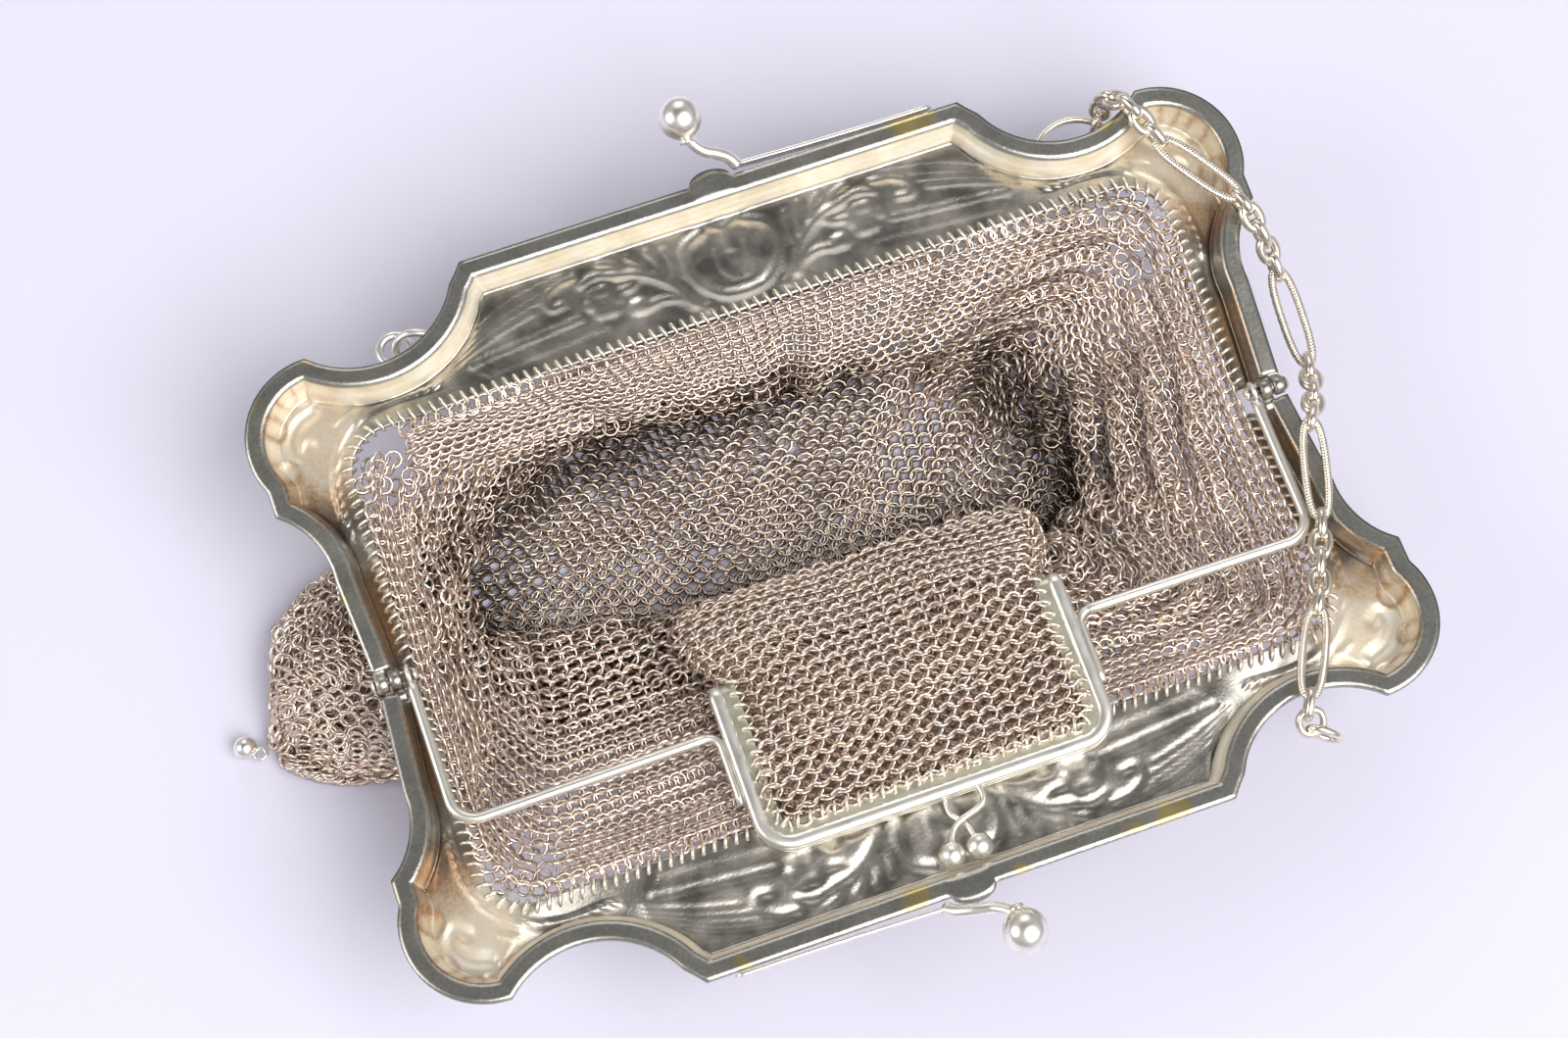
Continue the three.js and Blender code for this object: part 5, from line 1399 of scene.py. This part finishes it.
def make_floor(colour):
    """A wide pale floor with a faint cloudy tone."""
    mesh = bpy.data.meshes.new("floor")
    corners = [(x * FLOOR_REACH, y * FLOOR_REACH, 0) for x, y in ((-1, -1), (1, -1), (1, 1), (-1, 1))]
    mesh.from_pydata(corners, [], [(0, 1, 2, 3)])
    paint, add, shader, place = surface_finish("pale_floor", 0.0)
    tree = paint.node_tree
    cloud = add("ShaderNodeTexNoise", {"Vector": place, "Scale": per_mm(FLOOR_CLOUD), "Detail": 1.0})
    shade = rgba(tuple(0.96 * part for part in colour))
    pale = add("ShaderNodeMix", {0: cloud, 6: rgba(colour), 7: shade}, 2, data_type="RGBA")
    fill(tree, shader, {"Base Color": pale, "Roughness": 0.85})
    mesh.materials.append(paint)
    floor = bpy.data.objects.new("floor", mesh)
    bpy.context.scene.collection.objects.link(floor)


def make_sky(strength):
    """Soft white surroundings whose brightness goes by the height of the direction."""
    sky = bpy.data.worlds.new("studio")
    bpy.context.scene.world = sky
    sky.use_nodes = True
    tree = sky.node_tree
    direction = add_node(tree, "ShaderNodeTexCoord", output="Generated")
    height = add_node(tree, "ShaderNodeSeparateXYZ", {0: direction}, "Z")
    shade = add_node(tree, "ShaderNodeValToRGB", {"Fac": height})
    elements = shade.node.color_ramp.elements
    while len(elements) < len(SKY_STOPS):
        elements.new(1.0)
    for (place, level), element in zip(SKY_STOPS, elements):
        element.position = place
        element.color = (level, level, level * SKY_BLUE, 1)
    fill(tree, tree.nodes["Background"], {"Color": shade, "Strength": strength})


def make_light(name, place, size, power):
    """A square light aimed at the middle of the floor."""
    lamp = bpy.data.lights.new(name, "AREA")
    lamp.size = size
    lamp.energy = power
    aim = -np.array(place) / np.linalg.norm(place)
    level = unit(np.cross(aim, UP))
    in_place(lamp, level, np.cross(level, aim), -aim, place)


def make_camera():
    """The camera at the photograph's viewing angle."""
    lens = bpy.data.cameras.new("camera")
    lens.lens = LENS
    lens.sensor_width = SENSOR_WIDTH
    lens.clip_start = CLIP_START
    bpy.context.scene.camera = in_place(lens, CAMERA_RIGHT, -CAMERA_DOWN, -CAMERA_FORWARD, CAMERA_PLACE)


# Sizes and looks that a user would change

def length_prop(name, text, millimetres):
    """A length in Blender's metres with its default in millimetres."""
    return FloatProperty(name=name, description=text, default=millimetres * MM, unit="LENGTH")


def colour_prop(name, text, hex_colour):
    """A linear colour with its default as sRGB hex."""
    return FloatVectorProperty(
        name=name, description=text, subtype="COLOR", size=3, min=0, max=1, default=linear(hex_colour))


class PurseMeshSizes(bpy.types.PropertyGroup):
    """Sizes of the ring mesh."""

    ring_pitch: length_prop("Ring pitch", "Distance between rings of one row", 2.85)
    row_step: length_prop("Row step", "Distance between rows of rings", 1.1)
    ring_radius: length_prop("Ring radius", "Radius of a ring to the wire's middle", 1.35)
    ring_wire: length_prop("Ring wire", "Radius of the ring wire", 0.3)
    ring_lean: FloatProperty(
        name="Ring lean", description="How far each ring leans out of the mesh",
        default=math.radians(40), unit="ROTATION")
    rows_in_block: IntProperty(
        name="Rows in a block", description="Most rows that keep the same number of rings", default=14)


class PurseLooks(bpy.types.PropertyGroup):
    """Colours of the metals."""

    panel_dark: colour_prop("Panel, dark", "Darker satin tone of the pressed panel", "#85827c")
    panel_light: colour_prop("Panel, light", "Lighter satin tone of the pressed panel", "#c6bfb4")
    # The relief's tone is a painted highlight, lighter than the panel.
    relief_highlight_colour: colour_prop("Relief", "Worn bright tone of the relief", "#cfcabe")
    # The step wall's cream is a painted sheen, also used on the lobes.
    wall_sheen_colour: colour_prop("Step wall", "Glossy cream of the step wall", "#f7efdf")
    rim_colour: colour_prop("Rim", "Olive grey of the flat rim", "#9b9a92")
    tarnish_colour: colour_prop("Tarnish", "Rust brown of the lobes and arms", "#8c6a4c")
    ring_dark: colour_prop("Ring, dark", "Darkest tone of a ring", "#5d4d42")
    ring_light: colour_prop("Ring, light", "Lightest tone of a ring", "#fff0e2")
    ring_tarnish: colour_prop("Ring tarnish", "Taupe specks on the ring wire", "#c0a592")
    polish: colour_prop("Polish", "Polished nickel of the fittings", "#fffbf2")
    chain: colour_prop("Chain", "Warm silver of the chain and carrying ring", "#f2e8d8")
    flange: colour_prop("Flange", "Greenish cream of the coin purse's flange", "#dad6c2")
    stitches: colour_prop("Stitches", "Pale wire of the edge stitches", "#fff6e8")


class PurseStage(bpy.types.PropertyGroup):
    """The floor and the studio light."""

    floor_colour: colour_prop("Floor", "Pale lavender white of the floor", "#cfccdb")
    key_power: FloatProperty(
        name="Key light", description="Power of the large light in front of the purse",
        default=28, unit="POWER")
    fill_power: FloatProperty(
        name="Fill light", description="Power of the smaller lights behind and beside it",
        default=4, unit="POWER")
    sky_strength: FloatProperty(
        name="Sky", description="Strength of the soft white surroundings", default=0.46)


class PurseOperator:
    """What the purse's operators share."""

    bl_options = {"REGISTER", "UNDO"}


class PURSE_OT_frame_halves(PurseOperator, bpy.types.Operator):
    """Make the two pressed halves with their hinge knuckles and lugs"""

    bl_idname = "purse.frame_halves"
    bl_label = "Frame halves"

    def execute(self, context):
        material = pressed_nickel_silver(context.scene.purse_looks)
        for name, side, knuckle_x in (("back", 1, OUTER_KNUCKLE_X), ("front", -1, KNUCKLE_INNER_X)):
            sheet, values = half_mesh(side)
            extras = [knuckle(side, end, knuckle_x) for end in (1, -1)]
            if side > 0:
                extras.append(back_lugs())
            shape = join(sheet, *extras)
            plain = np.zeros(len(shape[0]) - len(sheet[0]))
            values = {key: np.append(column, plain) for key, column in values.items()}
            put_mesh(f"{name}_half_sheet", shape, material, [f"{name}_frame_half"], values)
        return {"FINISHED"}


class PURSE_OT_fittings(PurseOperator, bpy.types.Operator):
    """Make the clasps, hinge pins, carrying ring, jump rings and drop ball"""

    bl_idname = "purse.fittings"
    bl_label = "Fittings"

    def execute(self, context):
        looks = context.scene.purse_looks
        bright = polished_nickel("polished_nickel_fittings", looks.polish)
        warm = polished_nickel("silvered_wire_carrying_ring", looks.chain, 0.2)
        for name, row in CLASPS.items():
            put_mesh(f"{name}_spring", clasp(row["side"], row["foot"], row["ball"]), bright, [name])
        for name, end in (("right", 1), ("left", -1)):
            put_mesh(f"pin_{name}", pin(end), bright, [f"hinge_pin_{name}"])
        ring = wire_ring(RING_RADIUS, RING_WIRE, 72, 12)
        put_mesh("carrying_ring", (ring[0] + RING_CENTRE, ring[1]), warm, ["carry_ring"])
        for name, radius, reach, normal in (
            ("inner", INNER_JUMP_RADIUS, INNER_JUMP_RADIUS, jump_axes()[0]),
            ("outer", JUMP_RING_RADIUS, 2 * INNER_JUMP_RADIUS, UP),
        ):
            ring = placed(wire_ring(radius, JUMP_WIRE), JUMP_END + JUMP_LINE * reach, JUMP_LINE, normal)
            put_mesh(f"{name}_jump_ring", ring, bright, [f"jump_ring_{name}"])
        put_mesh("tail_drop", tail_drop(), bright, ["drop_ball"])
        return {"FINISHED"}


class PURSE_OT_coin_purse(PurseOperator, bpy.types.Operator):
    """Make the coin purse's two frames, its bail wires and its ring pocket"""

    bl_idname = "purse.coin_purse"
    bl_label = "Coin purse"

    def execute(self, context):
        looks, sizes = context.scene.purse_looks, context.scene.purse_mesh
        bright = polished_nickel("polished_nickel_coin_frame", looks.polish, 0.28)
        dull = polished_nickel("cream_nickel_flange", looks.flange, 0.3)
        eye_x = KNUCKLE_INNER_X - CLEARANCE - BAIL_RADIUS
        eyes = [
            placed(wire_ring(EYE_RADIUS, EYE_WIRE, 24, 8), (end * eye_x, 0, HINGE_HEIGHT), UP, (1, 0, 0))
            for end in (1, -1)
        ]
        lower = join(
            coin_bar(COIN_FRAME_HEIGHT), bail_wire(1), bail_wire(-1), *eyes,
            coin_clasp(COIN_CENTRE_X, COIN_CENTRE_X + COIN_BALL_GAP / 2, COIN_FRAME_HEIGHT),
        )
        put_mesh("coin_frame_lower", lower, bright, ["coin_frame_and_bail"])
        upper = join(
            coin_bar(COIN_LID_HEIGHT),
            coin_clasp(COIN_CENTRE_X + COIN_STALK_SHIFT, COIN_CENTRE_X - COIN_BALL_GAP / 2, COIN_LID_HEIGHT),
        )
        put_mesh("coin_frame_upper", upper, bright, ["coin_frame_lid"])
        put_mesh("coin_flange_upper", coin_flange(COIN_LID_HEIGHT), dull)
        put_mesh("coin_flange_lower", coin_flange(COIN_FRAME_HEIGHT), dull)
        centre, tangent, normal, tone = woven_rings(pocket_surface(), sizes, 5, first_row=0.4)
        shape = many_rings(centre, tangent, normal, sizes.ring_radius / MM, sizes.ring_wire / MM)
        tones = {"tone": np.repeat(tone, RING_SEGMENTS * RING_SIDES)}
        put_mesh("pocket_rings", shape, ring_wire(looks), ["coin_pocket"], tones)
        return {"FINISHED"}


class PURSE_OT_sack(PurseOperator, bpy.types.Operator):
    """Lay the woven rings of the sack"""

    bl_idname = "purse.sack"
    bl_label = "Sack"

    def execute(self, context):
        looks, sizes = context.scene.purse_looks, context.scene.purse_mesh
        centre, tangent, normal, tone = woven_rings(
            sack_surface(), sizes, 11, first_row=0.7, gathered_until=WALL_REACH)
        radius, wire = sizes.ring_radius / MM, sizes.ring_wire / MM
        # Painted shade darkens the low rings, most along the floor's border, and streaks vary the tone.
        tone *= painted_shade_and_streaks(centre)
        normal = unit(normal - np.sum(normal * tangent, 1, keepdims=True) * tangent)
        stands = radius * np.sqrt(np.clip(1 - normal[:, 2] ** 2, 0, 1)) + wire
        centre[:, 2] = np.maximum(centre[:, 2], stands + TABLE_GAP)
        gone = np.zeros(len(centre), bool)
        for x, y in MISSING:
            near = np.hypot(centre[:, 0] - x, centre[:, 1] - y) < MISSING_REACH
            gone |= near & (centre[:, 2] < FLOOR_TOP)
        chance = np.random.default_rng(3).random(len(centre))
        for x, y, reach in OPEN_CORNERS:
            near = np.hypot(centre[:, 0] - x, centre[:, 1] - y) < reach
            gone |= near & (centre[:, 2] > OPEN_HEIGHT) & (chance < OPEN_SHARE)
        material = ring_wire(looks)
        region = np.where(gone, -1, np.searchsorted(SACK_SPLITS, centre[:, 0]))
        for k, name in enumerate(SACK_PIECES):
            here = region == k
            shape = many_rings(centre[here], tangent[here], normal[here], radius, wire)
            tones = {"tone": np.repeat(tone[here], RING_SEGMENTS * RING_SIDES)}
            put_mesh(name, shape, material, ["mesh_bag"], tones)
        return {"FINISHED"}


class PURSE_OT_stitches(PurseOperator, bpy.types.Operator):
    """Lay the wire stitches along the mouth edge and the coin purse's flange"""

    bl_idname = "purse.stitches"
    bl_label = "Edge stitches"

    def execute(self, context):
        material = polished_nickel("stitch_wire", context.scene.purse_looks.stitches, 0.3)
        rows = []
        for side in (1, -1):
            spots, out = mouth_line(MOUTH_STITCHES["count"], MOUTH_STITCHES["inset"])
            depth = MOUTH_EDGE_DEPTH + SHEET / 2 + MOUTH_STITCHES["sink"]
            level = np.zeros(len(out))
            tangent = np.stack([-out[:, 1], side * out[:, 0], level], 1)
            away = np.stack([out[:, 0], side * out[:, 1], level], 1)
            slant = MOUTH_STITCHES["slant"]
            place = on_half(side, spots[:, 0], spots[:, 1], depth).T
            rows.append((place, unit(away + slant * tangent), unit(tangent - slant * away)))
        edge = stitch_rings(MOUTH_STITCHES, *(np.vstack(columns) for columns in zip(*rows)))
        put_mesh("mouth_stitches", edge, material)
        inset = COIN_BAR_WIDTH / 2 + COIN_FLANGE_WIDTH - FLANGE_STITCHES["inset"]
        path = even_steps(coin_path(COIN_LID_HEIGHT, inset), FLANGE_STITCHES["count"])
        tangent, level, _ = path_axes(path)
        along = unit(level + FLANGE_STITCHES["slant"] * tangent)
        put_mesh("flange_stitches", stitch_rings(FLANGE_STITCHES, path, along, tangent), material)
        return {"FINISHED"}


class PURSE_OT_handle_chain(PurseOperator, bpy.types.Operator):
    """Make the handle chain's links and twisted loops"""

    bl_idname = "purse.handle_chain"
    bl_label = "Handle chain"

    def execute(self, context):
        material = polished_nickel("silvered_chain", context.scene.purse_looks.chain, 0.2)
        put_mesh("chain_links", chain_shape(), material, ["handle_chain"])
        return {"FINISHED"}


class PURSE_OT_stage(PurseOperator, bpy.types.Operator):
    """Set the floor, the soft studio light and the camera"""

    bl_idname = "purse.stage"
    bl_label = "Stage"

    def execute(self, context):
        look = context.scene.purse_stage
        make_floor(look.floor_colour)
        make_sky(look.sky_strength)
        for row in LIGHTS:
            make_light(power=getattr(look, row["power"]) * row["share"], **row["at"])
        make_camera()
        context.scene.view_settings.view_transform = "Standard"
        return {"FINISHED"}


STEPS = [
    PURSE_OT_stage, PURSE_OT_frame_halves, PURSE_OT_fittings, PURSE_OT_coin_purse, PURSE_OT_sack,
    PURSE_OT_stitches, PURSE_OT_handle_chain,
]


class PURSE_PT_panel(bpy.types.Panel):
    """The purse's steps and sizes in the sidebar"""

    bl_label = "Metal mesh purse"
    bl_idname = "PURSE_PT_panel"
    bl_space_type = "VIEW_3D"
    bl_region_type = "UI"
    bl_category = "Purse"

    def draw(self, context):
        for step in STEPS:
            self.layout.operator(step.bl_idname)
        for group in (context.scene.purse_mesh, context.scene.purse_looks, context.scene.purse_stage):
            for name in group.__annotations__:
                self.layout.prop(group, name)


CLASSES = [PurseMeshSizes, PurseLooks, PurseStage, *STEPS, PURSE_PT_panel]
GROUPS = {"purse_mesh": PurseMeshSizes, "purse_looks": PurseLooks, "purse_stage": PurseStage}


def register():
    for item in CLASSES:
        bpy.utils.register_class(item)
    for name, group in GROUPS.items():
        setattr(bpy.types.Scene, name, PointerProperty(type=group))


def unregister():
    for name in GROUPS:
        delattr(bpy.types.Scene, name)
    for item in reversed(CLASSES):
        bpy.utils.unregister_class(item)


def main():
    """Runs every step in order."""
    register()
    bpy.ops.purse.stage()
    bpy.ops.purse.frame_halves()
    bpy.ops.purse.fittings()
    bpy.ops.purse.coin_purse()
    bpy.ops.purse.sack()
    bpy.ops.purse.stitches()
    bpy.ops.purse.handle_chain()


if __name__ == "__main__":
    main()
